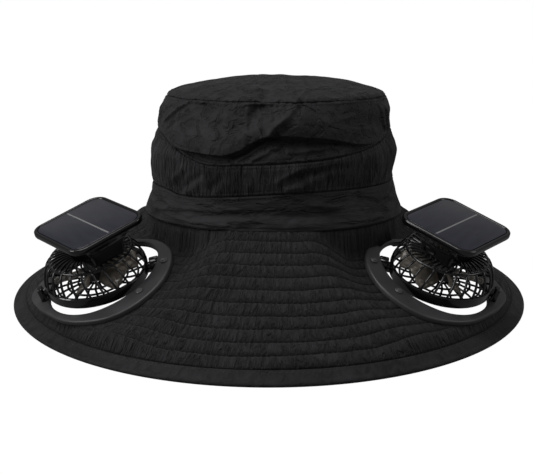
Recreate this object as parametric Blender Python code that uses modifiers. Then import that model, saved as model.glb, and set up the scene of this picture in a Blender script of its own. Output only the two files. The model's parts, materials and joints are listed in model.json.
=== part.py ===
import math
from collections import namedtuple

import bmesh
import bpy
from mathutils import Matrix, Vector

for old in list(bpy.data.objects):
    bpy.data.objects.remove(old, do_unlink=True)

MM = 0.001

# Crown: an oval of an adult head, tilted slightly back, on the brim's inner edge
CROWN_HALF_WIDTH = 91.0 * MM
CROWN_HALF_DEPTH = 98.0 * MM
CROWN_CENTRE = Vector((3.4, -4.5, 63.2)) * MM
CROWN_TILT = math.radians(4.0)
CROWN_RISE = 80.7 * MM
DOME_RISE = 10.8 * MM
CLOTH_WALL = 2.0 * MM
SEAM_GAP = 0.3 * MM
CROWN_SEGMENTS = 40

# Brim and hem
BRIM_HALF_WIDTH = 182.0 * MM
BRIM_HALF_DEPTH = 185.5 * MM
BRIM_SEGMENTS = 60
BRIM_SEAM_GAP = 0.9 * MM
HEM_REACH = 9.0 * MM
HEM_LIP = 3.2 * MM
HEM_FLAT = 4.0 * MM
HEM_WALL = 2.4 * MM

# Plate: the ring on the brim that carries a fan, in its own plane (given for the left one)
PLATE_CENTRE = Vector((-112.9, -76.8, 35.2)) * MM
PLATE_NORMAL = Vector((-0.3334, -0.3035, 0.8926)).normalized()
PLATE_RADIUS = 47.8 * MM
PLATE_THICKNESS = 3.0 * MM
PLATE_BEVEL = 0.9 * MM
PLATE_SEGMENTS = 30
OPENING_RADIUS = 38.0 * MM
OPENING_CENTRE = (3.4 * MM, -3.0 * MM)
OUTLINE_CENTRE = (3.6 * MM, -5.0 * MM)
SEAT_GAP = 0.3 * MM
SEAT_MARGIN = 8.0 * MM
SEAT_FADE = 34.0 * MM
WINDOW_EASE = 0.8 * MM

# Rivets
RIVET_SHANK = 1.2 * MM
RIVET_HEAD = 2.3 * MM
RIVET_RISE = 1.0 * MM
RIVET_EASE = 0.3 * MM

# Fan: the part that tilts on the plate; its x axis is the tilt axis, its z axis the spin axis
FAN_CENTRE = Vector((-111.9, -79.7, 33.2)) * MM
TILT_AXIS = Vector((0.9709, 0.1184, 0.2081)).normalized()
FAN_AXIS = Vector((-0.1744, -0.2459, 0.9535)).normalized()
CAGE_RADIUS = 34.0 * MM
CAGE_TOP_RADIUS = 26.9 * MM
CAGE_BOTTOM = -0.2 * MM
CAGE_RING = 4.6 * MM
CAGE_HEIGHT = 21.4 * MM
CAGE_WALL = 2.0 * MM
CAGE_HUB = 9.6 * MM
CAGE_RIBS = 24
RIB_SHARE = 0.42
PIN_RADIUS = 2.4 * MM
PIN_EASE = 0.3 * MM
PIN_REACH = 39.0 * MM
OUTER_PIN_REACH = 37.6 * MM
KNUCKLE_RADIUS = 6.2 * MM
KNUCKLE_START = 35.0 * MM
KNUCKLE_END = 41.5 * MM

MOTOR_RADIUS = 7.0 * MM
MOTOR_LENGTH = 9.6 * MM
SHAFT_RADIUS = 1.5 * MM
SHAFT_DEPTH = 3.0 * MM
HUB_RADIUS = 8.0 * MM
HUB_HEIGHT = 7.0 * MM
BLADE_COUNT = 6
BLADE_TIP = 28.0 * MM
BLADE_CHORD = 13.0 * MM
BLADE_WALL = 1.4 * MM
BLADE_ANGLE = math.radians(38.0)

# Battery box and panel, turned together about the spin axis
PANEL_TURN = math.radians(-57.3)
PANEL_SIDE = 56.0 * MM
PANEL_CORNER = 8.6 * MM
PANEL_THICKNESS = 5.0 * MM
PANEL_TOP = 41.7 * MM
PANEL_OFFSET = (1.2 * MM, 1.0 * MM)
BEZEL_WIDTH = 2.6 * MM
CELL_RECESS = 1.4 * MM
CELL_THICKNESS = 0.9 * MM
BUSBAR_WIDTH = 1.2 * MM
BOX_LENGTH = 31.0 * MM
BOX_WIDTH = 24.0 * MM
BOX_SHIFT = (6.5 * MM, -2.5 * MM)
BOX_TOP_LENGTH = 42.0 * MM
BOX_TOP_WIDTH = 36.0 * MM
BOX_TOP_SHIFT = (3.0 * MM, 0.0 * MM)
BOX_CORNER = 3.0 * MM

# rise: share of the crown's rise above its base seam; wide, deep: shares of its half sizes;
# right, back: shift of the section's centre as a share of the crown's half width
Section = namedtuple("Section", "rise wide deep right back")
CROWN_SECTIONS = [
    Section(0.00, 1.000, 1.000, 0.000, 0.000),
    Section(0.08, 0.975, 0.978, -0.005, 0.000),
    Section(0.16, 0.950, 0.955, -0.006, 0.000),
    Section(0.28, 0.932, 0.938, -0.004, 0.000),
    Section(0.42, 0.944, 0.944, -0.004, 0.005),
    Section(0.54, 0.946, 0.940, 0.000, 0.005),
    Section(0.66, 0.910, 0.915, 0.002, 0.000),
    Section(0.78, 0.884, 0.890, 0.006, 0.000),
    Section(0.90, 0.872, 0.872, 0.015, 0.000),
    Section(1.00, 0.838, 0.842, 0.018, 0.005),
]

# angle: degrees from the front toward the right; low, high: rises of the two band seams
BandSeam = namedtuple("BandSeam", "angle low high")
BAND_SEAMS = [
    BandSeam(-180, 0.290, 0.680),
    BandSeam(-120, 0.275, 0.720),
    BandSeam(-82, 0.260, 0.718),
    BandSeam(-56, 0.258, 0.645),
    BandSeam(-44, 0.236, 0.570),
    BandSeam(-33, 0.243, 0.512),
    BandSeam(-18, 0.266, 0.508),
    BandSeam(3, 0.294, 0.532),
    BandSeam(22, 0.303, 0.554),
    BandSeam(38, 0.301, 0.588),
    BandSeam(57, 0.296, 0.642),
    BandSeam(75, 0.292, 0.705),
    BandSeam(120, 0.285, 0.720),
    BandSeam(180, 0.290, 0.680),
]

# The overhanging fold of the upper panel: rise of its edge and its push as a share of FOLD_PUSH
FOLD_PUSH = 3.6 * MM
Fold = namedtuple("Fold", "angle rise push")
FOLD_LINE = [
    Fold(-180, 0.700, 0.00),
    Fold(-90, 0.700, 0.00),
    Fold(-66, 0.655, 0.35),
    Fold(-45, 0.634, 0.80),
    Fold(-33, 0.625, 1.00),
    Fold(-23, 0.616, 1.00),
    Fold(-15, 0.660, 1.00),
    Fold(-8, 0.735, 1.00),
    Fold(-4, 0.765, 1.00),
    Fold(4, 0.768, 0.90),
    Fold(14, 0.755, 0.85),
    Fold(26, 0.728, 0.80),
    Fold(37, 0.680, 0.60),
    Fold(52, 0.650, 0.25),
    Fold(80, 0.700, 0.00),
    Fold(180, 0.700, 0.00),
]

# angle, rise: middle of the dent; spread: degrees; tall: share of the rise; depth: share of DENT_DEPTH
DENT_DEPTH = 5.0 * MM
Dent = namedtuple("Dent", "angle rise spread tall depth")
DENTS = [
    Dent(-9, 0.90, 8, 0.06, 1.0),
    Dent(-38, 0.93, 13, 0.07, 0.55),
    Dent(33, 0.92, 12, 0.06, 0.45),
    Dent(80, 0.36, 12, 0.10, 0.35),
    Dent(-72, 0.62, 12, 0.08, 0.40),
    Dent(74, 0.66, 10, 0.07, 0.40),
    Dent(140, 0.85, 22, 0.10, 0.60),
    Dent(-150, 0.80, 24, 0.12, 0.60),
    Dent(12, 0.12, 22, 0.08, 0.30),
    Dent(-30, 0.16, 14, 0.07, 0.25),
]

# angle in the plate's plane; outer: share of PLATE_RADIUS; inner: share of OPENING_RADIUS
PlateEdge = namedtuple("PlateEdge", "angle outer inner")
PLATE_EDGE = [
    PlateEdge(0, 1.010, 1.03),
    PlateEdge(25, 0.930, 1.01),
    PlateEdge(50, 0.850, 0.95),
    PlateEdge(90, 0.880, 0.93),
    PlateEdge(120, 0.960, 0.96),
    PlateEdge(150, 1.050, 0.98),
    PlateEdge(166, 1.090, 1.00),
    PlateEdge(183, 0.990, 1.00),
    PlateEdge(211, 0.890, 1.00),
    PlateEdge(249, 0.940, 1.00),
    PlateEdge(273, 1.020, 0.98),
    PlateEdge(297, 1.045, 0.97),
    PlateEdge(325, 1.040, 0.98),
    PlateEdge(360, 1.010, 1.03),
]

# angle round the opening's centre, distance as a share of the plate's radius
Rivet = namedtuple("Rivet", "angle distance")
RIVETS = [
    Rivet(-16.0, 0.925),
    Rivet(-56.5, 0.890),
    Rivet(118.0, 0.840),
]

hat = bpy.data.collections.new("solar_fan_hat")
cutters = bpy.data.collections.new("cutters")
bpy.context.scene.collection.children.link(hat)
bpy.context.scene.collection.children.link(cutters)


def material(name, colour, roughness, metallic=0.0):
    made = bpy.data.materials.new(name)
    made.use_nodes = True
    shader = made.node_tree.nodes["Principled BSDF"]
    shader.inputs["Base Color"].default_value = (*colour, 1.0)
    shader.inputs["Roughness"].default_value = roughness
    shader.inputs["Metallic"].default_value = metallic
    made.diffuse_color = (*colour, 1.0)
    return made


CLOTH = material("dark_grey_cloth", (0.085, 0.085, 0.095), 0.85)
CRINKLE = material("crinkled_cloth", (0.060, 0.060, 0.070), 0.9)
PLATE_PLASTIC = material("satin_grey_plastic", (0.070, 0.070, 0.075), 0.45)
BLACK_PLASTIC = material("gloss_black_plastic", (0.012, 0.012, 0.013), 0.18)
SMOKY_PLASTIC = material("smoky_plastic", (0.20, 0.17, 0.15), 0.15)
STEEL = material("steel", (0.30, 0.30, 0.31), 0.35, 1.0)
SILVER = material("silver_print", (0.65, 0.65, 0.66), 0.4, 1.0)
CELL = material("solar_cell", (0.045, 0.050, 0.080), 0.3)


def along(rows, at, column):
    """Value of a table's column between its rows, eased so that the curve has no corners."""
    for before, after in zip(rows, rows[1:]):
        if at <= after[0]:
            share = (at - before[0]) / (after[0] - before[0])
            share = share * share * (3 - 2 * share)
            low, high = getattr(before, column), getattr(after, column)
            return low + (high - low) * share
    return getattr(rows[-1], column)


def straight(rows, at, column):
    for before, after in zip(rows, rows[1:]):
        if at <= after[0]:
            share = (at - before[0]) / (after[0] - before[0])
            return getattr(before, column) * (1 - share) + getattr(after, column) * share
    return getattr(rows[-1], column)


def smooth(share):
    share = min(max(share, 0.0), 1.0)
    return share * share * (3 - 2 * share)


def turn_between(first, second):
    """Smallest turn in degrees from the second angle to the first."""
    return (first - second + 180.0) % 360.0 - 180.0


def front_angle(theta):
    """Degrees from the front toward the right, -180 to 180."""
    return turn_between(math.degrees(theta) + 90.0, 0.0)


def crown_push(angle, rise):
    edge = straight(FOLD_LINE, angle, "rise")
    push = straight(FOLD_LINE, angle, "push") * FOLD_PUSH
    above = rise - edge
    if above >= 0:
        out = push * math.exp(-((above - 0.03) / 0.09) ** 2)
    else:
        out = -0.7 * push * math.exp(-((above + 0.05) / 0.07) ** 2)
    out *= smooth((1.0 - rise) / 0.08)
    for dent in DENTS:
        aside = turn_between(angle, dent.angle) / dent.spread
        up = (rise - dent.rise) / dent.tall
        out -= dent.depth * DENT_DEPTH * math.exp(-aside * aside - up * up)
    return out


def crown_point(theta, rise, lift=0.0, shrink=1.0, inset=0.0):
    """Outer surface of the crown's side; shrink < 1 goes inward on the tip."""
    angle = front_angle(theta)
    wide = straight(CROWN_SECTIONS, rise, "wide") * CROWN_HALF_WIDTH
    deep = straight(CROWN_SECTIONS, rise, "deep") * CROWN_HALF_DEPTH
    right = straight(CROWN_SECTIONS, rise, "right") * CROWN_HALF_WIDTH
    back = straight(CROWN_SECTIONS, rise, "back") * CROWN_HALF_WIDTH
    push = crown_push(angle, rise) - inset if shrink == 1.0 else 0.0
    x = right + (wide + push) * shrink * math.cos(theta)
    y = back + (deep + push) * shrink * math.sin(theta)
    z = rise * CROWN_RISE + lift
    cosine, sine = math.cos(CROWN_TILT), math.sin(CROWN_TILT)
    return CROWN_CENTRE + Vector((x, y * cosine + z * sine, -y * sine + z * cosine))


def plate_frame(side):
    """Matrix of the plate's plane: z is its normal and x runs along the tilt axis."""
    across = TILT_AXIS - PLATE_NORMAL * TILT_AXIS.dot(PLATE_NORMAL)
    across.normalize()
    axes = (across, PLATE_NORMAL.cross(across), PLATE_NORMAL)
    return placed(axes, PLATE_CENTRE, side)


def fan_frame(side):
    across = TILT_AXIS - FAN_AXIS * TILT_AXIS.dot(FAN_AXIS)
    across.normalize()
    axes = (across, FAN_AXIS.cross(across), FAN_AXIS)
    return placed(axes, FAN_CENTRE, side)


def placed(axes, centre, side):
    matrix = Matrix([list(row) for row in zip(*axes)]).to_4x4()
    matrix.translation = centre
    if side > 0:
        matrix = Matrix.Scale(-1.0, 4, (1.0, 0.0, 0.0)) @ matrix
    return matrix


LEFT_PLATE = plate_frame(-1)
RIGHT_PLATE = plate_frame(1)


def seat_height(frame, x, y):
    """Height of the brim's seat below the plate at x, y."""
    normal = Vector((frame[0][2], frame[1][2], frame[2][2]))
    point = frame.translation - normal * (PLATE_THICKNESS + SEAT_GAP)
    return point.z - (normal.x * (x - point.x) + normal.y * (y - point.y)) / normal.z


def brim_reach(theta):
    inner = crown_point(theta, 0.0)
    outer = Vector((BRIM_HALF_WIDTH * math.cos(theta), BRIM_HALF_DEPTH * math.sin(theta), 0.0))
    across = math.hypot(outer.x - inner.x, outer.y - inner.y)
    start = BRIM_SEAM_GAP / across
    end = 1.0 - HEM_REACH / across
    return inner, outer, start, end


def brim_point(theta, share):
    """Top of the brim: share 0 at the crown and 1 at the hem."""
    inner, outer, start, end = brim_reach(theta)
    point = inner.lerp(outer, start + (end - start) * share)
    for frame in (LEFT_PLATE, RIGHT_PLATE):
        seat = seat_height(frame, point.x, point.y)
        local = frame.inverted() @ Vector((point.x, point.y, seat))
        away = math.hypot(local.x - OUTLINE_CENTRE[0], local.y - OUTLINE_CENTRE[1]) - PLATE_RADIUS
        hold = 1.0 - smooth((away - SEAT_MARGIN) / SEAT_FADE)
        hold *= smooth(share / 0.04) * smooth((1.0 - share) / 0.08)
        point.z += (seat - point.z) * hold
    return point


def link(name, mesh, look, group, origin):
    made = bpy.data.objects.new(name, mesh)
    group.objects.link(made)
    made.location = origin
    if look:
        mesh.materials.append(look)
    if group == cutters:
        made.hide_render = True
        made.display_type = "WIRE"
    return made


def solid(name, bm, look, group=hat, origin=Vector(), closed=True):
    """Object of a bmesh built in world space, its origin moved to the point given."""
    if closed:
        bmesh.ops.recalc_face_normals(bm, faces=bm.faces[:])
    bmesh.ops.translate(bm, verts=bm.verts[:], vec=-Vector(origin))
    mesh = bpy.data.meshes.new(name)
    bm.to_mesh(mesh)
    bm.free()
    return link(name, mesh, look, group, origin)


def sheet(rings, flip=False):
    """Open sheet through rings of points, each ring the same length and closed."""
    bm = bmesh.new()
    rows = [[bm.verts.new(point) for point in ring] for ring in rings]
    for low, high in zip(rows, rows[1:]):
        count = len(low)
        for i in range(count):
            j = (i + 1) % count
            face = (low[i], low[j], high[j], high[i])
            bm.faces.new(face[::-1] if flip else face)
    return bm, rows


def closed_band(rings):
    bm = bmesh.new()
    rows = [[bm.verts.new(point) for point in ring] for ring in rings]
    count = len(rows[0])
    for k, low in enumerate(rows):
        high = rows[(k + 1) % len(rows)]
        for i in range(count):
            j = (i + 1) % count
            bm.faces.new((low[i], low[j], high[j], high[i]))
    return bm


def wall(target, thickness, name="wall"):
    shell = target.modifiers.new(name, "SOLIDIFY")
    shell.thickness = thickness
    shell.offset = -1.0
    shell.use_even_offset = True
    return shell


def boolean(target, other, operation="DIFFERENCE"):
    cut = target.modifiers.new(other.name, "BOOLEAN")
    cut.operation = operation
    cut.solver = "EXACT"
    cut.object = other
    return cut


def prism(frame, outline, low, high, top=None):
    """Closed prism over an outline in a frame; top may be another outline of the same length."""
    bm = bmesh.new()
    base = [bm.verts.new(frame @ Vector((x, y, low))) for x, y in outline]
    lid = [bm.verts.new(frame @ Vector((x, y, high))) for x, y in (top or outline)]
    count = len(base)
    bm.faces.new(base[::-1])
    bm.faces.new(lid)
    for i in range(count):
        j = (i + 1) % count
        bm.faces.new((base[i], base[j], lid[j], lid[i]))
    return bm


def circle(radius, segments, centre=(0.0, 0.0)):
    step = 2 * math.pi / segments
    return [
        (centre[0] + radius * math.cos(step * i), centre[1] + radius * math.sin(step * i))
        for i in range(segments)
    ]


def rounded(length, width, corner, steps=4, turn=0.0, centre=(0.0, 0.0)):
    """Rounded rectangle, anticlockwise, turned about its centre."""
    points = []
    for k, (sx, sy) in enumerate(((1, 1), (-1, 1), (-1, -1), (1, -1))):
        for i in range(steps + 1):
            angle = math.pi / 2 * (k + i / steps)
            x = sx * (length / 2 - corner) + corner * math.cos(angle)
            y = sy * (width / 2 - corner) + corner * math.sin(angle)
            points.append(
                (
                    centre[0] + x * math.cos(turn) - y * math.sin(turn),
                    centre[1] + x * math.sin(turn) + y * math.cos(turn),
                )
            )
    return points


def axis_cylinder(frame, start, end, radius, segments=12):
    """Cylinder along the frame's x axis."""
    bm = bmesh.new()
    rings = []
    for x in (start, end):
        ring = []
        for y, z in circle(radius, segments):
            ring.append(bm.verts.new(frame @ Vector((x, y, z))))
        rings.append(ring)
    bm.faces.new(rings[0][::-1])
    bm.faces.new(rings[1])
    for i in range(segments):
        j = (i + 1) % segments
        bm.faces.new((rings[0][i], rings[0][j], rings[1][j], rings[1][i]))
    return bm


def merged(parts):
    whole = bmesh.new()
    for bm in parts:
        mesh = bpy.data.meshes.new("part")
        bmesh.ops.recalc_face_normals(bm, faces=bm.faces[:])
        bm.to_mesh(mesh)
        bm.free()
        whole.from_mesh(mesh)
        bpy.data.meshes.remove(mesh)
    return whole


# Crown
THETAS = [2 * math.pi * i / CROWN_SEGMENTS for i in range(CROWN_SEGMENTS)]


def seam_rise(theta, column):
    return along(BAND_SEAMS, front_angle(theta), column)


def crown_piece(name, low, high, shares, look):
    gap = SEAM_GAP / 2 / CROWN_RISE
    rings = []
    for inset in (0.0, CLOTH_WALL):
        for share in shares if inset == 0.0 else reversed(shares):
            ring = []
            for theta in THETAS:
                start, end = low(theta) + gap, high(theta) - gap
                rise = start + (end - start) * share
                ring.append(crown_point(theta, rise, inset=inset))
            rings.append(ring)
    return solid(name, closed_band(rings), look)


crown_piece("crown_lower", lambda t: 0.0, lambda t: seam_rise(t, "low"), (0, 0.45, 1), CLOTH)
crown_piece(
    "crown_crinkle",
    lambda t: seam_rise(t, "low"),
    lambda t: seam_rise(t, "high"),
    (0, 0.5, 1),
    CRINKLE,
)


def upper_panel():
    gap = SEAM_GAP / 2 / CROWN_RISE
    rings = [[] for _ in range(12)]
    for theta in THETAS:
        low = seam_rise(theta, "high") + gap
        fold = straight(FOLD_LINE, front_angle(theta), "rise")
        fold = max(fold, low + 0.05)
        top = 1.0 - gap
        rises = (
            low,
            low + (fold - low) * 0.55,
            fold - 0.008,
            fold + 0.022,
            fold + (top - fold) * 0.55,
            top,
        )
        for ring, rise in zip(rings, rises):
            ring.append(crown_point(theta, rise))
        for ring, rise in zip(rings[6:], reversed(rises)):
            ring.append(crown_point(theta, rise, inset=CLOTH_WALL))
    solid("crown_upper", closed_band(rings), CLOTH)


upper_panel()


def crown_tip():
    shares = (1.0, 0.88, 0.58)
    rings = []
    for depth in (0.0, CLOTH_WALL):
        for share in shares if depth else reversed(shares):
            lift = DOME_RISE * (1.0 - share**2.6) + SEAM_GAP / 2 + CLOTH_WALL - depth
            reach = share * 0.9999
            rings.append([crown_point(t, 1.0, lift=lift, shrink=reach) for t in THETAS])
    bm, rows = sheet(rings)
    for row, lift in ((rows[0], CLOTH_WALL), (rows[-1], 0.0)):
        lift += DOME_RISE + SEAM_GAP / 2
        centre = bm.verts.new(crown_point(0.0, 1.0, lift=lift, shrink=0.0))
        for i, vertex in enumerate(row):
            corners = (vertex, row[(i + 1) % len(row)], centre)
            bm.faces.new(corners if row is rows[-1] else corners[::-1])
    solid("crown_top", bm, CLOTH)


crown_tip()

# Brim and hem
BRIM_SHARES = (0.0, 0.04, 0.11, 0.23, 0.39, 0.58, 0.79, 1.0)
BRIM_THETAS = [2 * math.pi * i / BRIM_SEGMENTS for i in range(BRIM_SEGMENTS)]


def plate_edge(column, radius, centre, ease=0.0, segments=PLATE_SEGMENTS):
    points = []
    for i in range(segments):
        angle = 360.0 * i / segments
        reach = along(PLATE_EDGE, angle, column) * radius + ease
        x = centre[0] + reach * math.cos(math.radians(angle))
        y = centre[1] + reach * math.sin(math.radians(angle))
        points.append((x, y))
    return points


def brim():
    rings = [[brim_point(theta, share) for theta in BRIM_THETAS] for share in BRIM_SHARES]
    bm, _ = sheet(rings, flip=True)
    made = solid("brim", bm, CRINKLE, closed=False)
    wall(made, CLOTH_WALL)
    for name, frame in (("left", LEFT_PLATE), ("right", RIGHT_PLATE)):
        outline = plate_edge("inner", OPENING_RADIUS, OPENING_CENTRE, WINDOW_EASE, 24)
        hole = prism(frame, outline, -30 * MM, 30 * MM)
        boolean(made, solid(name + "_window_cutter", hole, None, cutters))
        outline = plate_edge("outer", PLATE_RADIUS, OUTLINE_CENTRE, SEAT_GAP, 30)
        seat = prism(frame, outline, -PLATE_THICKNESS - SEAT_GAP / 2, 25 * MM)
        boolean(made, solid(name + "_seat_cutter", seat, None, cutters))
    return made


def hem():
    rings = [[] for _ in range(6)]
    for theta in BRIM_THETAS:
        inner, outer, _, end = brim_reach(theta)
        top = inner.lerp(outer, end + SEAM_GAP / HEM_REACH * (1 - end))
        inward = Vector((inner.x - outer.x, inner.y - outer.y, 0.0)).normalized()
        section = (
            top,
            outer + inward * 1.4 * MM + Vector((0, 0, HEM_LIP)),
            outer + Vector((0, 0, HEM_LIP * 0.55)),
            outer,
            outer + inward * HEM_FLAT,
            top - Vector((0, 0, HEM_WALL)),
        )
        for ring, point in zip(rings, section):
            ring.append(point)
    solid("brim_hem", closed_band(rings), CLOTH)


brim()
hem()


# Fans
def plate(prefix, frame):
    outer = plate_edge("outer", PLATE_RADIUS, OUTLINE_CENTRE)
    outer_in = plate_edge("outer", PLATE_RADIUS, OUTLINE_CENTRE, -PLATE_BEVEL)
    inner = plate_edge("inner", OPENING_RADIUS, OPENING_CENTRE)
    inner_out = plate_edge("inner", OPENING_RADIUS, OPENING_CENTRE, PLATE_BEVEL)
    levels = (
        (outer, -PLATE_THICKNESS),
        (outer, -PLATE_BEVEL),
        (outer_in, 0.0),
        (inner_out, 0.0),
        (inner, -PLATE_BEVEL),
        (inner, -PLATE_THICKNESS),
    )
    rings = [[frame @ Vector((x, y, z)) for x, y in line] for line, z in levels]
    made = solid(prefix + "plate", closed_band(rings), PLATE_PLASTIC)
    holes = []
    for number, rivet in enumerate(RIVETS, 1):
        reach = rivet.distance * PLATE_RADIUS
        x = OPENING_CENTRE[0] + reach * math.cos(math.radians(rivet.angle))
        y = OPENING_CENTRE[1] + reach * math.sin(math.radians(rivet.angle))
        holes.append(
            prism(frame, circle(RIVET_SHANK + RIVET_EASE, 8, (x, y)), -5 * MM, 1 * MM)
        )
        levels = (
            (RIVET_SHANK, -PLATE_THICKNESS),
            (RIVET_SHANK, SEAT_GAP),
            (RIVET_HEAD, SEAT_GAP),
            (RIVET_HEAD * 0.55, SEAT_GAP + RIVET_RISE),
        )
        rings = []
        for radius, z in levels:
            rings.append([frame @ Vector((*p, z)) for p in circle(radius, 8, (x, y))])
        bm, rows = sheet(rings)
        bm.faces.new(rows[0][::-1])
        bm.faces.new(rows[-1])
        solid(f"{prefix}rivet_{number}", bm, STEEL)
    boolean(made, solid(prefix + "rivet_cutter", merged(holes), None, cutters))
    return made


def pivots(prefix, frame, fan):
    """Brackets on the plate; each has a blind bore on the tilt axis."""
    block = prism(
        frame,
        rounded(4.4 * MM, 7.6 * MM, 1.6 * MM, 3, centre=(-37.2 * MM, -3.3 * MM)),
        SEAT_GAP,
        9.2 * MM,
        rounded(4.0 * MM, 6.4 * MM, 1.6 * MM, 3, centre=(-37.0 * MM, -3.3 * MM)),
    )
    outer = solid(prefix + "outer_pivot", block, BLACK_PLASTIC)
    bore = axis_cylinder(fan, -OUTER_PIN_REACH - PIN_EASE, -25 * MM, PIN_RADIUS + PIN_EASE)
    boolean(outer, solid(prefix + "outer_bore_cutter", bore, None, cutters))

    knuckle = axis_cylinder(fan, KNUCKLE_START, KNUCKLE_END, KNUCKLE_RADIUS, 16)
    inner = solid(prefix + "inner_pivot", knuckle, BLACK_PLASTIC)
    bore = axis_cylinder(fan, 25 * MM, PIN_REACH + PIN_EASE, PIN_RADIUS + PIN_EASE)
    boolean(inner, solid(prefix + "inner_bore_cutter", bore, None, cutters))


def cage(prefix, fan, origin):
    top = CAGE_HEIGHT
    ring_top = CAGE_BOTTOM + CAGE_RING
    profile = (
        (CAGE_RADIUS, CAGE_BOTTOM, False),
        (CAGE_RADIUS, ring_top, True),
        (CAGE_RADIUS * 0.965, ring_top + (top - ring_top) * 0.52, True),
        (CAGE_TOP_RADIUS * 1.04, top - 1.3 * MM, False),
        (CAGE_TOP_RADIUS * 0.97, top, False),
        (CAGE_TOP_RADIUS * 0.90, top, True),
        (CAGE_HUB, top, False),
    )
    turn = 2 * math.pi / CAGE_RIBS
    angles = []
    for i in range(CAGE_RIBS):
        angles += [turn * i, turn * (i + RIB_SHARE)]
    bm = bmesh.new()
    rows = []
    for radius, z, _ in profile:
        row = []
        for angle in angles:
            point = Vector((radius * math.cos(angle), radius * math.sin(angle), z))
            row.append(bm.verts.new(fan @ point))
        rows.append(row)
    count = len(angles)
    for (low, high), (_, _, open_above) in zip(zip(rows, rows[1:]), profile):
        for i in range(count):
            if open_above and i % 2:
                continue
            j = (i + 1) % count
            bm.faces.new((low[i], low[j], high[j], high[i]))
    centre = bm.verts.new(fan @ Vector((0.0, 0.0, top)))
    for i in range(count):
        bm.faces.new((rows[-1][i], rows[-1][(i + 1) % count], centre))
    if fan.determinant() < 0:
        bmesh.ops.reverse_faces(bm, faces=bm.faces[:])
    made = solid(prefix + "cage", bm, BLACK_PLASTIC, origin=origin, closed=False)
    wall(made, CAGE_WALL)
    pins = merged(
        [
            axis_cylinder(fan, -OUTER_PIN_REACH, -CAGE_RADIUS + 1.2 * MM, PIN_RADIUS),
            axis_cylinder(fan, CAGE_RADIUS - 1.2 * MM, PIN_REACH, PIN_RADIUS),
        ]
    )
    boolean(made, solid(prefix + "pin_form", pins, None, cutters), "UNION")


def motor_and_impeller(prefix, fan, origin):
    ceiling = CAGE_HEIGHT - CAGE_WALL - SEAM_GAP
    floor = ceiling - MOTOR_LENGTH
    body = prism(fan, circle(MOTOR_RADIUS, 16), floor, ceiling)
    motor = solid(prefix + "motor", body, STEEL, origin=origin)
    bore = prism(
        fan,
        circle(SHAFT_RADIUS + PIN_EASE, 8),
        floor - 2 * MM,
        floor + SHAFT_DEPTH + PIN_EASE,
    )
    boolean(motor, solid(prefix + "shaft_cutter", bore, None, cutters))

    hub_top = floor - 0.4 * MM
    hub = prism(fan, circle(HUB_RADIUS, 18), hub_top - HUB_HEIGHT, hub_top)
    made = solid(prefix + "impeller", hub, SMOKY_PLASTIC, origin=origin)
    blades = [prism(fan, circle(SHAFT_RADIUS, 8), hub_top - 1 * MM, floor + SHAFT_DEPTH)]
    middle = hub_top - HUB_HEIGHT / 2
    for i in range(BLADE_COUNT):
        spin = Matrix.Rotation(2 * math.pi * i / BLADE_COUNT, 4, "Z")
        bm = bmesh.new()
        rings = []
        for reach, angle, chord in (
            (HUB_RADIUS - 1.5 * MM, BLADE_ANGLE, BLADE_CHORD * 0.62),
            (HUB_RADIUS + (BLADE_TIP - HUB_RADIUS) * 0.5, BLADE_ANGLE * 0.85, BLADE_CHORD * 0.9),
            (BLADE_TIP, BLADE_ANGLE * 0.62, BLADE_CHORD),
        ):
            ring = []
            for across, up in ((-0.5, -0.5), (0.5, -0.5), (0.5, 0.5), (-0.5, 0.5)):
                y, z = across * chord, up * BLADE_WALL
                y, z = (
                    y * math.cos(angle) - z * math.sin(angle),
                    y * math.sin(angle) + z * math.cos(angle),
                )
                ring.append(bm.verts.new(fan @ (spin @ Vector((reach, y, z + middle)))))
            rings.append(ring)
        bm.faces.new(rings[0][::-1])
        bm.faces.new(rings[-1])
        for low, high in zip(rings, rings[1:]):
            for k in range(4):
                bm.faces.new((low[k], low[(k + 1) % 4], high[(k + 1) % 4], high[k]))
        blades.append(bm)
    form = solid(prefix + "blade_form", merged(blades), None, cutters)
    boolean(made, form, "UNION")


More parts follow.
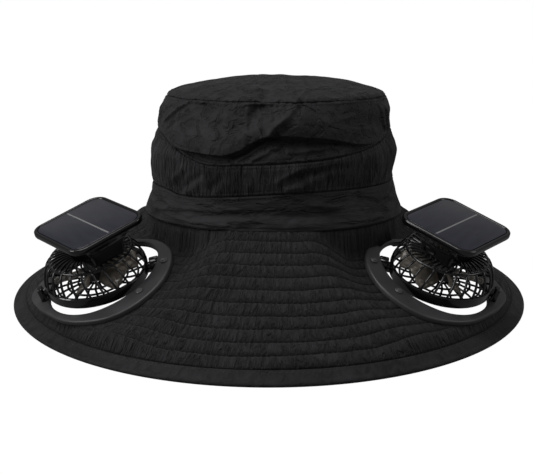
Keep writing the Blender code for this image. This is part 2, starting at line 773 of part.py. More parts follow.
def box_and_panel(prefix, fan, origin):
    under = PANEL_TOP - PANEL_THICKNESS
    turn = PANEL_TURN

    def shifted(shift):
        x, y = shift
        return (
            PANEL_OFFSET[0] + x * math.cos(turn) - y * math.sin(turn),
            PANEL_OFFSET[1] + x * math.sin(turn) + y * math.cos(turn),
        )

    low = rounded(BOX_LENGTH, BOX_WIDTH, BOX_CORNER, 3, turn, shifted(BOX_SHIFT))
    high = rounded(
        BOX_TOP_LENGTH,
        BOX_TOP_WIDTH,
        BOX_CORNER * 1.6,
        3,
        turn,
        shifted(BOX_TOP_SHIFT),
    )
    body = prism(fan, low, CAGE_HEIGHT + SEAM_GAP, under - SEAM_GAP, high)
    solid(prefix + "battery_box", body, BLACK_PLASTIC, origin=origin)

    def outline(inset):
        side = PANEL_SIDE - 2 * inset
        return rounded(side, side, PANEL_CORNER - inset, 3, turn, PANEL_OFFSET)

    levels = (
        (1.2 * MM, under),
        (0.0, under + 1.2 * MM),
        (0.0, PANEL_TOP - 1.0 * MM),
        (0.9 * MM, PANEL_TOP),
        (BEZEL_WIDTH, PANEL_TOP),
        (BEZEL_WIDTH + 0.1 * MM, PANEL_TOP - CELL_RECESS),
    )
    rings = []
    for inset, z in levels:
        rings.append([fan @ Vector((x, y, z)) for x, y in outline(inset)])
    bm, rows = sheet(rings)
    bm.faces.new(rows[0][::-1])
    bm.faces.new(rows[-1])
    solid(prefix + "panel_frame", bm, BLACK_PLASTIC, origin=origin)

    floor = PANEL_TOP - CELL_RECESS + SEAM_GAP
    slab = prism(fan, outline(BEZEL_WIDTH + 0.4 * MM), floor, floor + CELL_THICKNESS)
    cell = solid(prefix + "solar_cell", slab, CELL, origin=origin)
    length = PANEL_SIDE - 2 * BEZEL_WIDTH - 4.0 * MM
    groove = rounded(length + 0.6 * MM, BUSBAR_WIDTH + 0.6 * MM, 0.3 * MM, 1, turn, PANEL_OFFSET)
    depth = 0.5 * MM
    top = floor + CELL_THICKNESS
    cut = prism(fan, groove, top - depth, top + 1 * MM)
    boolean(cell, solid(prefix + "groove_cutter", cut, None, cutters))
    strip = rounded(length, BUSBAR_WIDTH, 0.2 * MM, 1, turn, PANEL_OFFSET)
    bar = prism(fan, strip, top - depth + 0.15 * MM, top + 0.05 * MM)
    solid(prefix + "busbar", bar, SILVER, origin=origin)


for prefix, side in (("left_", -1), ("right_", 1)):
    plate_matrix, fan_matrix = plate_frame(side), fan_frame(side)
    hinge = fan_matrix.translation.copy()
    plate(prefix, plate_matrix)
    pivots(prefix, plate_matrix, fan_matrix)
    cage(prefix, fan_matrix, hinge)
    motor_and_impeller(prefix, fan_matrix, hinge)
    box_and_panel(prefix, fan_matrix, hinge)
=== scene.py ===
import json
import math

import bmesh
import bpy
from mathutils import Matrix, Vector, noise

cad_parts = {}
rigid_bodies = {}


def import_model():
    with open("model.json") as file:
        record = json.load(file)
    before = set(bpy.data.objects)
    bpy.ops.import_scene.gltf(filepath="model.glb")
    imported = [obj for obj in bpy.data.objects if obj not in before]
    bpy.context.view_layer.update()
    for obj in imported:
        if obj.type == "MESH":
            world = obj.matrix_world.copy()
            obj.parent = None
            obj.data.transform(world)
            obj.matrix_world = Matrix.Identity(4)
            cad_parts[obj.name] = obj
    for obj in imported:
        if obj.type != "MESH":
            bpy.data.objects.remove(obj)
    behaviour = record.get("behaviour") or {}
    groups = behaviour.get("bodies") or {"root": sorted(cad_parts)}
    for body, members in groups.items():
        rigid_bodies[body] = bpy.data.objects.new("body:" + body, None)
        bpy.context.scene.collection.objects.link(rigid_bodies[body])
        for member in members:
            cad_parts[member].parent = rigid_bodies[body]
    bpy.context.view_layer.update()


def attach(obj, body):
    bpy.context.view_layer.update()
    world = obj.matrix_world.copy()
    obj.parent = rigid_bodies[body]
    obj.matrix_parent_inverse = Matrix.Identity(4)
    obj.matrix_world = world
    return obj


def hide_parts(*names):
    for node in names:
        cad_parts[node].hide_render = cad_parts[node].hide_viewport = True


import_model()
mm = 0.001
print("frame loaded")


def smoothStep(x):
    x = min(max(x, 0.0), 1.0)
    return x * x * (3 - 2 * x)


def bell(x):
    return math.exp(-x * x)


def follow(table, at, column):  # smooth curve through a table's rows, first column is the place
    rows = len(table)
    if at <= table[0][0]:
        return table[0][column]
    if at >= table[-1][0]:
        return table[-1][column]
    i = next(k for k in range(rows - 1) if at <= table[k + 1][0])
    x0, x1 = table[i][0], table[i + 1][0]
    y0, y1 = table[i][column], table[i + 1][column]
    slope = (y1 - y0) / (x1 - x0)
    before = slope if i == 0 else (y0 - table[i - 1][column]) / (x0 - table[i - 1][0])
    after = slope if i == rows - 2 else (table[i + 2][column] - y1) / (table[i + 2][0] - x1)
    m0, m1 = (before + slope) / 2, (slope + after) / 2
    if before * slope <= 0:
        m0 = 0
    if after * slope <= 0:
        m1 = 0
    t, span = (at - x0) / (x1 - x0), x1 - x0
    return (
        (2 * t**3 - 3 * t**2 + 1) * y0
        + (t**3 - 2 * t**2 + t) * span * m0
        + (3 * t**2 - 2 * t**3) * y1
        + (t**3 - t**2) * span * m1
    )


def ripple(x, y, z=0.0):  # soft noise, -1 to 1
    return noise.noise(Vector((x, y, z)))


def turnTo(a, b):
    return (a - b + 180.0) % 360.0 - 180.0


def makePiece(name, bm, body, material, slotName, replaced=(), smooth=True, closed=True):
    bmesh.ops.remove_doubles(bm, verts=bm.verts[:], dist=1e-6)
    if closed:
        bmesh.ops.recalc_face_normals(bm, faces=bm.faces[:])
    for face in bm.faces:
        face.smooth = smooth
    mesh = bpy.data.meshes.new(name)
    bm.to_mesh(mesh)
    bm.free()
    piece = bpy.data.objects.new(name, mesh)
    bpy.context.scene.collection.objects.link(piece)
    mesh.materials.append(material)
    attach(piece, body)
    if replaced:
        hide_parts(*replaced)
    return piece


def thicken(piece, wall, offset=-1.0):
    shell = piece.modifiers.new("wall", "SOLIDIFY")
    shell.thickness = wall
    shell.offset = offset
    return shell


def clothGrid(across, up, place, size):  # grid mapped by place(u, v); UV in metres
    bm = bmesh.new()
    uv = bm.loops.layers.uv.new("UVMap")
    bmesh.ops.create_grid(bm, x_segments=across, y_segments=up, size=0.5)
    for vert in bm.verts:
        u, v = vert.co.x + 0.5, vert.co.y + 0.5
        for loop in vert.link_loops:
            loop[uv].uv = (u * size[0], v * size[1])
        vert.co = place(u, v)
    return bm


# Finishes
def startMaterial(name, colour, roughness, metallic=0.0):
    material = bpy.data.materials.new(name)
    material.use_nodes = True
    shader = material.node_tree.nodes["Principled BSDF"]
    shader.inputs["Base Color"].default_value = (*colour, 1.0)
    shader.inputs["Roughness"].default_value = roughness
    shader.inputs["Metallic"].default_value = metallic
    return material, material.node_tree, shader


def addNode(tree, kind, **values):
    node = tree.nodes.new("ShaderNode" + kind)
    for key, value in values.items():
        if hasattr(node, key):
            setattr(node, key, value)
        else:
            node.inputs[key.replace("_", " ")].default_value = value
    return node


def scaled(tree, source, scale, turn=0.0):
    mapping = addNode(tree, "Mapping")
    mapping.inputs["Scale"].default_value = scale
    mapping.inputs["Rotation"].default_value = (0, 0, turn)
    tree.links.new(source, mapping.inputs["Vector"])
    return mapping.outputs["Vector"]


def noiseHeight(tree, source, scale, detail=3.0, rough=0.55, twist=0.0):
    texture = addNode(tree, "TexNoise", Scale=1.0, Detail=detail, Roughness=rough, Distortion=twist)
    tree.links.new(scaled(tree, source, scale), texture.inputs["Vector"])
    return texture.outputs["Fac"]


def mathNode(tree, operation, first, second=None, clamp=False):
    node = addNode(tree, "Math", operation=operation, use_clamp=clamp)
    for socket, value in zip(node.inputs, (first, second)):
        if value is None:
            continue
        if isinstance(value, (int, float)):
            socket.default_value = value
        else:
            tree.links.new(value, socket)
    return node.outputs[0]


def addBump(tree, height, distance, strength, below=None):
    bump = addNode(tree, "Bump")
    bump.inputs["Distance"].default_value = distance
    bump.inputs["Strength"].default_value = strength
    tree.links.new(height, bump.inputs["Height"])
    if below:
        tree.links.new(below, bump.inputs["Normal"])
    return bump.outputs["Normal"]


def tint(tree, shader, factor, dark, light, low=0.3, high=0.7):
    ramp = addNode(tree, "ValToRGB")
    ramp.color_ramp.elements[0].position = low
    ramp.color_ramp.elements[0].color = (*dark, 1.0)
    ramp.color_ramp.elements[1].position = high
    ramp.color_ramp.elements[1].color = (*light, 1.0)
    tree.links.new(factor, ramp.inputs["Fac"])
    tree.links.new(ramp.outputs["Color"], shader.inputs["Base Color"])


clothLook = {
    # dark and light: ends of the cloth's colour ramp, which carries random patches and painted wrinkle shade
    # (darker in the hollows, lighter on the crests)
    "dark": (0.0095, 0.0095, 0.0108),
    "light": (0.0185, 0.0185, 0.0205),
    "roughness": 0.66,
    "sheen": 0.05,
    "weave": 2600.0,  # threads' pattern per metre
}


def nylon(name, wrinkle, wrinkleHeight, rows=0, spread=1.5):
    # spread widens the colour ramp, making the painted wrinkle shade and light and the random patches stronger
    dark = [c / spread for c in clothLook["dark"]]
    light = [c * spread**0.6 for c in clothLook["light"]]
    material, tree, shader = startMaterial(name, light, clothLook["roughness"])
    shader.inputs["Sheen Weight"].default_value = clothLook["sheen"]
    shader.inputs["Sheen Roughness"].default_value = 0.45
    shader.inputs["Specular IOR Level"].default_value = 0.22
    coords = addNode(tree, "TexCoord")
    uv = coords.outputs["UV"]
    big = noiseHeight(tree, uv, wrinkle, 3.5, 0.6, 0.7)
    small = noiseHeight(tree, uv, (wrinkle[0] * 2.3, wrinkle[1] * 2.1, 1), 2.0, 0.5, 0.4)
    sharp = mathNode(tree, "SUBTRACT", big, 0.5)
    sharp = mathNode(tree, "ABSOLUTE", sharp)
    sharp = mathNode(tree, "MULTIPLY", sharp, 2.2)
    height = mathNode(tree, "ADD", big, mathNode(tree, "MULTIPLY", sharp, -0.55))
    height = mathNode(tree, "ADD", height, mathNode(tree, "MULTIPLY", small, 0.35))
    if rows:
        split = addNode(tree, "SeparateXYZ")
        tree.links.new(uv, split.inputs[0])
        wave = mathNode(tree, "MULTIPLY", split.outputs[1], rows * math.pi)
        puff = mathNode(tree, "ABSOLUTE", mathNode(tree, "SINE", wave))
        puff = mathNode(tree, "POWER", puff, 0.55)
        height = mathNode(tree, "MULTIPLY", height, mathNode(tree, "ADD", puff, 0.25))
        height = mathNode(tree, "ADD", height, mathNode(tree, "MULTIPLY", puff, 0.1))
    normal = addBump(tree, height, wrinkleHeight, 1.0)
    weave = addNode(tree, "TexChecker", Scale=clothLook["weave"])
    tree.links.new(scaled(tree, uv, (1, 1, 1), math.radians(45)), weave.inputs["Vector"])
    grit = noiseHeight(tree, uv, (900, 900, 1), 2.0)
    mixed = mathNode(tree, "ADD", mathNode(tree, "MULTIPLY", weave.outputs["Fac"], 0.4), grit)
    normal = addBump(tree, mixed, 0.00006, 0.7, normal)
    tree.links.new(normal, shader.inputs["Normal"])
    # base colour: random patches plus painted shade from the wrinkle height, darker in the hollows and lighter
    # on the crests
    patches = noiseHeight(tree, coords.outputs["Object"], (28, 28, 28), 4.0)
    patches = mathNode(tree, "MULTIPLY", patches, 0.35)
    patchesAndPaintedWrinkleShade = mathNode(tree, "ADD", patches, mathNode(tree, "MULTIPLY", big, 0.65))
    tint(tree, shader, patchesAndPaintedWrinkleShade, dark, light, 0.36, 0.64)
    return material


def plastic(name, colour, roughness, grain, grainScale, coat=0.0, scratches=0.0):
    material, tree, shader = startMaterial(name, colour, roughness)
    shader.inputs["Coat Weight"].default_value = coat
    shader.inputs["Coat Roughness"].default_value = 0.06
    coords = addNode(tree, "TexCoord").outputs["Object"]
    texture = noiseHeight(tree, coords, (grainScale,) * 3, 3.0)
    tree.links.new(addBump(tree, texture, grain, 0.6), shader.inputs["Normal"])
    smudge = noiseHeight(tree, coords, (70, 70, 70), 4.0)
    rough = mathNode(tree, "ADD", mathNode(tree, "MULTIPLY", smudge, 0.22 + scratches), roughness - 0.1)
    tree.links.new(rough, shader.inputs["Roughness"])
    tint(tree, shader, smudge, [c * 0.8 for c in colour], [c * 1.15 for c in colour])
    return material


# spread sets how strongly each cloth's wrinkle hollows are painted darker and its crests lighter
smoothNylon = nylon("smoothNylon", (90, 130, 1), 0.0026, spread=1.6)
bandNylon = nylon("bandNylon", (40, 190, 1), 0.0024, spread=2.0)
crinkleNylon = nylon("crinkleNylon", (430, 55, 1), 0.0045, spread=3.2)
quiltNylon = nylon("quiltNylon", (480, 110, 1), 0.0036, rows=1 / 0.009, spread=1.8)
hemNylon = nylon("hemNylon", (200, 200, 1), 0.0004)
threadBlack = plastic("threadBlack", (0.012, 0.012, 0.013), 0.5, 0.00004, 4000)
satinPlate = plastic("satinPlate", (0.05, 0.05, 0.053), 0.42, 0.00003, 3500)
glossBlack = plastic("glossBlack", (0.0035, 0.0035, 0.004), 0.14, 0.00001, 900, coat=0.4)
mattBlack = plastic("mattBlack", (0.006, 0.006, 0.0065), 0.4, 0.00003, 2500)
steelHead = plastic("steelHead", (0.1, 0.1, 0.104), 0.3, 0.00001, 1500)
dullSteel, steelTree, steelShader = startMaterial("dullSteel", (0.28, 0.28, 0.29), 0.35, 1.0)
steelNoise = noiseHeight(steelTree, addNode(steelTree, "TexCoord").outputs["Object"], (900, 900, 60), 2.0)
steelTree.links.new(addBump(steelTree, steelNoise, 0.00002, 0.5), steelShader.inputs["Normal"])


def smokyPlastic():
    material, tree, shader = startMaterial("smokyPlastic", (0.3, 0.27, 0.23), 0.16)
    shader.inputs["Transmission Weight"].default_value = 0.45
    shader.inputs["IOR"].default_value = 1.49
    coords = addNode(tree, "TexCoord").outputs["Object"]
    haze = noiseHeight(tree, coords, (160, 160, 160), 3.0)
    tint(tree, shader, haze, (0.2, 0.18, 0.155), (0.38, 0.34, 0.29))
    tree.links.new(addBump(tree, haze, 0.0001, 0.3), shader.inputs["Normal"])
    return material


def cellMaterial():
    material, tree, shader = startMaterial("cellBlue", (0.022, 0.023, 0.036), 0.2)
    shader.inputs["Coat Weight"].default_value = 0.5
    shader.inputs["Coat Roughness"].default_value = 0.12
    uv = addNode(tree, "TexCoord").outputs["UV"]
    split = addNode(tree, "SeparateXYZ")
    tree.links.new(uv, split.inputs[0])
    fingers = mathNode(tree, "FRACT", mathNode(tree, "MULTIPLY", split.outputs[0], 1 / 0.0011))
    fingers = mathNode(tree, "LESS_THAN", fingers, 0.16)
    cloudy = noiseHeight(tree, uv, (60, 240, 1), 4.0)
    fingers = mathNode(tree, "MULTIPLY", fingers, 0.22)
    shade = mathNode(tree, "ADD", fingers, mathNode(tree, "MULTIPLY", cloudy, 0.7))
    tint(tree, shader, shade, (0.016, 0.017, 0.027), (0.036, 0.037, 0.055), 0.25, 0.8)
    ripples = noiseHeight(tree, uv, (90, 90, 1), 2.0)
    tree.links.new(addBump(tree, ripples, 0.00005, 0.5), shader.inputs["Normal"])
    return material


smokyBlade = smokyPlastic()
cellBlue = cellMaterial()
silverPrint, silverTree, silverShader = startMaterial("silverPrint", (0.62, 0.62, 0.63), 0.35, 0.9)
silverNoise = noiseHeight(silverTree, addNode(silverTree, "TexCoord").outputs["Object"], (1200,) * 3, 2.0)
silverTree.links.new(addBump(silverTree, silverNoise, 0.00002, 0.5), silverShader.inputs["Normal"])
print("finishes ready")

# Crown
crownTall = 80.7  # mm, from the base seam to the tip's
crown = {
    "halfWidth": 91 * mm,
    "halfDepth": 98 * mm,
    "centre": Vector((3.4, -4.5, 63.2)) * mm,
    "tilt": math.radians(4),
    "rise": crownTall * mm,
    "domeRise": 10.8 * mm,
    "wall": 1.5 * mm,
    "foldPush": 4.2 * mm,
    "foldDrop": 2.4 * mm,
    "dent": 5.0 * mm,
    "girth": 0.6,  # round the crown, for the cloth's pattern
    "across": 560,
}
# rise, wide, deep, right, back
crownSections = [
    (0.00, 1.000, 1.000, 0.000, 0.000),
    (0.08, 0.975, 0.978, -0.005, 0.000),
    (0.16, 0.950, 0.955, -0.006, 0.000),
    (0.28, 0.932, 0.938, -0.004, 0.000),
    (0.42, 0.944, 0.944, -0.004, 0.005),
    (0.54, 0.946, 0.940, 0.000, 0.005),
    (0.66, 0.910, 0.915, 0.002, 0.000),
    (0.78, 0.884, 0.890, 0.006, 0.000),
    (0.90, 0.872, 0.872, 0.015, 0.000),
    (1.00, 0.838, 0.842, 0.018, 0.005),
]
# degrees from the front toward the right, rise of the lower and of the upper seam
bandSeams = [
    (-180, 0.290, 0.680),
    (-120, 0.275, 0.720),
    (-82, 0.260, 0.718),
    (-56, 0.258, 0.645),
    (-46, 0.236, 0.582),
    (-36, 0.240, 0.524),
    (-27, 0.252, 0.504),
    (-14, 0.272, 0.516),
    (3, 0.294, 0.532),
    (22, 0.303, 0.554),
    (38, 0.301, 0.588),
    (57, 0.296, 0.642),
    (75, 0.292, 0.705),
    (120, 0.285, 0.720),
    (180, 0.290, 0.680),
]
# degrees, rise of the overhanging fold's edge, share of its push
foldLine = [
    (-90, 0.700, 0.0),
    (-66, 0.655, 0.35),
    (-45, 0.634, 0.8),
    (-33, 0.625, 1.0),
    (-23, 0.616, 1.0),
    (-15.5, 0.655, 1.0),
    (-8.5, 0.733, 1.0),
    (-4, 0.765, 1.0),
    (3.5, 0.768, 0.9),
    (14, 0.755, 0.85),
    (26, 0.728, 0.8),
    (37, 0.680, 0.6),
    (52, 0.650, 0.25),
    (80, 0.700, 0.0),
]
# degrees, rise, spread in degrees, height as a share of the rise, depth share
dents = [
    (-8.5, 0.93, 5.0, 0.13, 1.0),
    (-38, 0.95, 10, 0.07, 0.35),
    (33, 0.90, 12, 0.08, 0.30),
    (80, 0.36, 12, 0.10, 0.35),
    (-72, 0.62, 12, 0.08, 0.40),
    (74, 0.66, 10, 0.07, 0.40),
    (140, 0.85, 22, 0.10, 0.60),
    (-150, 0.80, 24, 0.12, 0.60),
    (12, 0.12, 22, 0.08, 0.30),
    (-30, 0.16, 14, 0.07, 0.25),
]
# creases: degrees and rise of both ends, width and height in mm
creases = [
    (-68, 0.80, -47, 1.00, 1.3, 1.3),
    (-62, 0.74, -40, 0.93, 1.6, -0.8),
    (-4, 0.77, 6, 0.91, 2.2, 1.9),
    (6, 0.91, 10, 1.00, 1.8, 1.4),
    (-2, 0.86, -4, 1.00, 1.5, 1.0),
    (-13, 0.80, -14, 0.95, 1.6, 0.9),
    (-25, 0.90, -18, 0.70, 3.0, 0.8),
    (18, 0.84, 40, 0.88, 2.2, 0.6),
    (24, 0.80, 55, 0.76, 2.4, 0.5),
    (-18, 0.53, -2, 0.72, 1.5, 1.2),
    (-10, 0.55, 4, 0.70, 1.4, 0.9),
    (6, 0.62, 34, 0.665, 1.8, 0.9),
    (-40, 0.56, -24, 0.585, 1.6, 0.7),
    (60, 0.95, 66, 0.72, 1.2, 1.2),
    (68, 0.93, 72, 0.70, 1.2, 1.3),
    (-76, 0.95, -80, 0.76, 1.3, 1.0),
    (-86, 0.92, -88, 0.74, 1.4, 1.1),
    (1, 0.385, 11, 0.49, 2.2, 1.3),
    (4, 0.37, 20, 0.48, 3.0, -1.6),
    (20, 0.46, 34, 0.50, 2.5, -1.0),
    (-45, 0.285, -32, 0.44, 2.6, -1.4),
    (-30, 0.29, -22, 0.43, 2.6, -1.2),
    (-52, 0.33, -42, 0.47, 2.4, 1.0),
    (48, 0.31, 56, 0.52, 2.0, 0.9),
    (-68, 0.086, -38, 0.145, 1.8, 0.8),
    (-38, 0.145, -14, 0.150, 1.8, 0.8),
    (-40, 0.060, -21, 0.125, 1.8, -1.0),
    (-21, 0.125, -2, 0.135, 2.0, -1.0),
    (-2, 0.130, 32, 0.085, 2.2, -1.0),
    (-29, 0.030, -8, 0.060, 1.6, 0.7),
    (-6, 0.050, 24, 0.035, 1.6, 0.6),
    (14, 0.210, 46, 0.130, 2.0, 0.8),
    (30, 0.180, 62, 0.060, 2.0, -0.8),
    (56, 0.210, 84, 0.110, 2.0, 0.8),
    (-86, 0.190, -58, 0.040, 2.0, -0.8),
    (100, 0.90, 108, 0.74, 2.0, 1.0),
    (128, 0.96, 120, 0.80, 2.2, -1.0),
    (-108, 0.93, -100, 0.75, 2.0, 1.0),
    (160, 0.55, 172, 0.32, 2.4, 1.0),
    (-165, 0.60, -150, 0.36, 2.4, -1.0),
    (110, 0.20, 150, 0.08, 2.2, 0.9),
    (-150, 0.06, -112, 0.19, 2.2, 0.9),
]
perDegree = 1.62  # mm round the crown in one degree


def creaseLift(angle, rise):
    total = 0.0
    x, y = angle * perDegree, rise * crownTall
    for a0, r0, a1, r1, width, height in creases:
        x0, y0, x1, y1 = a0 * perDegree, r0 * crownTall, a1 * perDegree, r1 * crownTall
        if not min(x0, x1) - 8 < x < max(x0, x1) + 8:
            continue
        dx, dy = x1 - x0, y1 - y0
        length = math.hypot(dx, dy)
        along = ((x - x0) * dx + (y - y0) * dy) / length
        side = ((y - y0) * dx - (x - x0) * dy) / length
        side += 0.9 * ripple(along * 0.22, x0)  # creases wander
        share = along / length
        ends = smoothStep((share + 0.12) / 0.3) * smoothStep((1.12 - share) / 0.3)
        total += height * ends * (bell(side / width) - 0.45 * bell((side + 1.7 * width) / (1.2 * width)))
    return total * mm


def seamAt(angle, column):
    return follow(bandSeams, angle, column)


def crownPush(angle, rise):
    edge = follow(foldLine, angle, 1)
    push = follow(foldLine, angle, 2)
    above = (rise - edge) * crownTall
    out = push * crown["foldPush"]
    if above >= 0:
        out *= 0.25 + 0.75 * bell((above - 3.0) / 8.0) if above < 3.0 else bell((above - 3.0) / 9.0)
    else:
        out *= 0.25 * bell(above / 1.5) - 0.75 * (1 - bell(above / 2.2)) * bell((above + 2.5) / 6.5)
    out *= smoothStep((1.0 - rise) / 0.08) * smoothStep((rise - seamAt(angle, 2)) / 0.03)
    for a, r, spread, tall, depth in dents:
        out -= depth * crown["dent"] * bell(turnTo(angle, a) / spread) * bell((rise - r) / tall)
    out += creaseLift(angle, rise)
    out += 0.9 * mm * ripple(angle * 0.05, rise * 5, 3.0) + 0.35 * mm * ripple(angle * 0.16, rise * 14, 7.0)
    return out


def crownDrop(angle, rise):  # the fold hangs over what lies below it
    edge = follow(foldLine, angle, 1)
    above = (rise - edge) * crownTall
    return crown["foldDrop"] * follow(foldLine, angle, 2) * bell((above - 1.2) / 3.0)


def crownPoint(angle, rise, push=0.0, shrink=1.0, lift=0.0, drop=0.0):
    theta = math.radians(angle - 90)
    wide = follow(crownSections, rise, 1) * crown["halfWidth"]
    deep = follow(crownSections, rise, 2) * crown["halfDepth"]
    right = follow(crownSections, rise, 3) * crown["halfWidth"]
    back = follow(crownSections, rise, 4) * crown["halfWidth"]
    x = right + (wide + push) * shrink * math.cos(theta)
    y = back + (deep + push) * shrink * math.sin(theta)
    z = rise * crown["rise"] + lift - drop
    c, s = math.cos(crown["tilt"]), math.sin(crown["tilt"])
    return crown["centre"] + Vector((x, y * c + z * s, -y * s + z * c))


def seamPinch(distance):  # cloth turns in at a seam; distance in mm
    return -0.9 * mm * bell(distance / 0.8) - 0.25 * mm * bell((distance - 2.2) / 0.7)


def sidePoint(angle, low, high, v, gather):
    span = (high - low) * crownTall
    rise = low + (high - low) * v
    fade = min(smoothStep(v * span / 3), smoothStep((1 - v) * span / 3))
    push = crownPush(angle, rise) * (0.25 + 0.75 * fade)
    push += seamPinch(v * span) + seamPinch((1 - v) * span)
    pull = gather(angle, v, span)
    return crownPoint(angle, rise, push + pull, drop=crownDrop(angle, rise) * fade)


def ribGather(angle, v, span):  # fine upright crinkles of the middle band
    wave = ripple(angle * 0.9 + 0.4 * math.sin(v * 5 + angle), v * 1.4, 1.0)
    wave += 0.6 * ripple(angle * 1.7, v * 2.2, 5.0)
    return 0.55 * mm * wave * smoothStep(v * 6) * smoothStep((1 - v) * 6)


def softGather(angle, v, span):
    top = bell((1 - v) * span / 5.0)
    pucker = ripple(angle * 0.55, v * 1.2, 9.0) * top * 0.9
    foot = ripple(angle * 0.7, 3.0, 11.0) * bell(v * span / 3.0) * 0.35
    return (pucker + foot) * mm


def bandGather(angle, v, span):
    return 0.35 * mm * ripple(angle * 0.05, v * 3.5, 2.0)


def buildSide(name, lowOf, highOf, up, gather, material, replaced):
    gap = 0.0012

    def place(u, v):
        angle = -180 + 360 * u
        return sidePoint(angle, lowOf(angle) + gap, highOf(angle) - gap, v, gather)

    height = (highOf(0) - lowOf(0)) * crown["rise"]
    bm = clothGrid(crown["across"], up, place, (crown["girth"], height))
    slotName = "crinkle" if "Crinkle" in name else "cloth"
    piece = makePiece(name, bm, "hat", material, slotName, [replaced], closed=False)
    thicken(piece, crown["wall"])
    return piece


lowerBand = buildSide(
    "lowerBand", lambda a: 0.0, lambda a: seamAt(a, 1), 44, bandGather, bandNylon, "crown_lower"
)
crinkleBand = buildSide(
    "bandCrinkle", lambda a: seamAt(a, 1), lambda a: seamAt(a, 2), 44, ribGather, crinkleNylon, "crown_crinkle"
)
upperPanel = buildSide(
    "upperPanel", lambda a: seamAt(a, 2), lambda a: 1.0, 76, softGather, smoothNylon, "crown_upper"
)


def tapeAt(column):  # tape sewn over a seam on the inside
    def place(u, v):
        angle = -180 + 360 * u
        rise = seamAt(angle, column) + (v - 0.5) * 0.09
        push = 0.25 * crownPush(angle, rise) - 1.9 * mm
        return crownPoint(angle, rise, push, drop=crownDrop(angle, rise) * 0.3)

    return clothGrid(180, 6, place, (crown["girth"], 0.007))


for number, tapeName in ((1, "lowerSeamTape"), (2, "upperSeamTape")):
    tape = makePiece(tapeName, tapeAt(number), "hat", hemNylon, "cloth", closed=False)
    thicken(tape, 0.4 * mm)

# tip creases: degrees and share of the radius of both ends, width and height in mm
tipCreases = [
    (-57, 1.00, -50, 0.70, 1.6, 1.2),
    (-34, 1.00, -16, 0.45, 2.4, 0.9),
    (-16, 0.45, 26, 0.58, 2.6, 0.8),
    (-28, 0.80, 7, 0.84, 1.8, 0.9),
    (7, 0.84, 21, 0.77, 1.6, 1.0),
    (10, 1.00, 21, 0.77, 1.8, 1.3),
    (-8, 1.00, -6, 0.80, 2.2, -1.3),
    (34, 0.90, 60, 0.80, 2.0, 0.6),
    (80, 0.95, 70, 0.60, 2.2, 0.8),
    (-95, 0.96, -80, 0.60, 2.2, 0.8),
    (130, 0.95, 150, 0.50, 2.6, 1.0),
    (-140, 0.95, -165, 0.40, 2.6, 1.0),
]


def tipLift(angle, share):
    total = 0.0
    x, y = share * 76 * math.sin(math.radians(angle)), -share * 80 * math.cos(math.radians(angle))
    for a0, s0, a1, s1, width, height in tipCreases:
        x0, y0 = s0 * 76 * math.sin(math.radians(a0)), -s0 * 80 * math.cos(math.radians(a0))
        x1, y1 = s1 * 76 * math.sin(math.radians(a1)), -s1 * 80 * math.cos(math.radians(a1))
        dx, dy = x1 - x0, y1 - y0
        length = math.hypot(dx, dy)
        along = ((x - x0) * dx + (y - y0) * dy) / length
        side = ((y - y0) * dx - (x - x0) * dy) / length
        reach = along / length
        ends = smoothStep((reach + 0.15) / 0.35) * smoothStep((1.15 - reach) / 0.35)
        total += height * ends * bell(side / width)
    total += 0.9 * ripple(x * 0.035, y * 0.05, 2.0) + 0.4 * ripple(x * 0.12, y * 0.16, 4.0)
    pucker = bell((1 - share) * 78 / 6.0)
    total += 0.8 * pucker * ripple(angle * 0.5, share * 3, 6.0)
    return total * mm * smoothStep((1.03 - share) / 0.05)


def tipPoint(u, v):
    angle = -180 + 360 * u
    share = 1.0 - v
    lift = crown["domeRise"] * (1 - share**2.6) + 1.4 * mm
    turned = bell((1 - share) * 78 / 1.2)
    lift += tipLift(angle, share) - 1.1 * mm * turned
    push = crownPush(angle, 0.985) * smoothStep((share - 0.6) / 0.4) if share > 0.6 else 0.0
    return crownPoint(angle, 1.0, push=push - 0.5 * mm * turned, shrink=share, lift=lift)


tipGrid = clothGrid(420, 110, tipPoint, (crown["girth"] * 0.85, 0.078))
tipPanel = makePiece("tipPanel", tipGrid, "hat", smoothNylon, "cloth", ["crown_top"], closed=False)
thicken(tipPanel, crown["wall"])
print("crown sewn")

# Planes of the plates and axes of the fans
plateShape = {
    "centre": Vector((-112.9, -76.8, 35.2)) * mm,
    "normal": Vector((-0.3334, -0.3035, 0.8926)).normalized(),
    "radius": 47.8 * mm,
    "thickness": 3 * mm,
    "opening": 38 * mm,
    "openingCentre": (3.4 * mm, -3.0 * mm),
    "outlineCentre": (3.6 * mm, -5.0 * mm),
    "seatGap": 0.3 * mm,
    "seatMargin": 8 * mm,
    "seatFade": 34 * mm,
}
tiltAxis = Vector((0.9709, 0.1184, 0.2081)).normalized()
spinAxis = Vector((-0.1744, -0.2459, 0.9535)).normalized()
fanCentre = Vector((-111.9, -79.7, 33.2)) * mm
# degrees in the plate's plane, outer share of the radius, inner share of the opening
plateEdge = [
    (0, 1.010, 1.03),
    (25, 0.930, 1.01),
    (50, 0.850, 0.95),
    (90, 0.880, 0.93),
    (120, 0.960, 0.96),
    (150, 1.050, 0.98),
    (166, 1.090, 1.00),
    (183, 0.990, 1.00),
    (211, 0.890, 1.00),
    (249, 0.940, 1.00),
    (273, 1.020, 0.98),
    (297, 1.045, 0.97),
    (325, 1.040, 0.98),
    (360, 1.010, 1.03),
]


def localFrame(normal, centre, side):
    across = (tiltAxis - normal * tiltAxis.dot(normal)).normalized()
    axes = (across, normal.cross(across), normal)
    matrix = Matrix([list(row) for row in zip(*axes)]).to_4x4()
    matrix.translation = centre
    return matrix if side < 0 else Matrix.Scale(-1, 4, (1, 0, 0)) @ matrix


plateFrames = {side: localFrame(plateShape["normal"], plateShape["centre"], side) for side in (-1, 1)}
fanFrames = {side: localFrame(spinAxis, fanCentre, side) for side in (-1, 1)}
plateInverse = {side: plateFrames[side].inverted() for side in (-1, 1)}

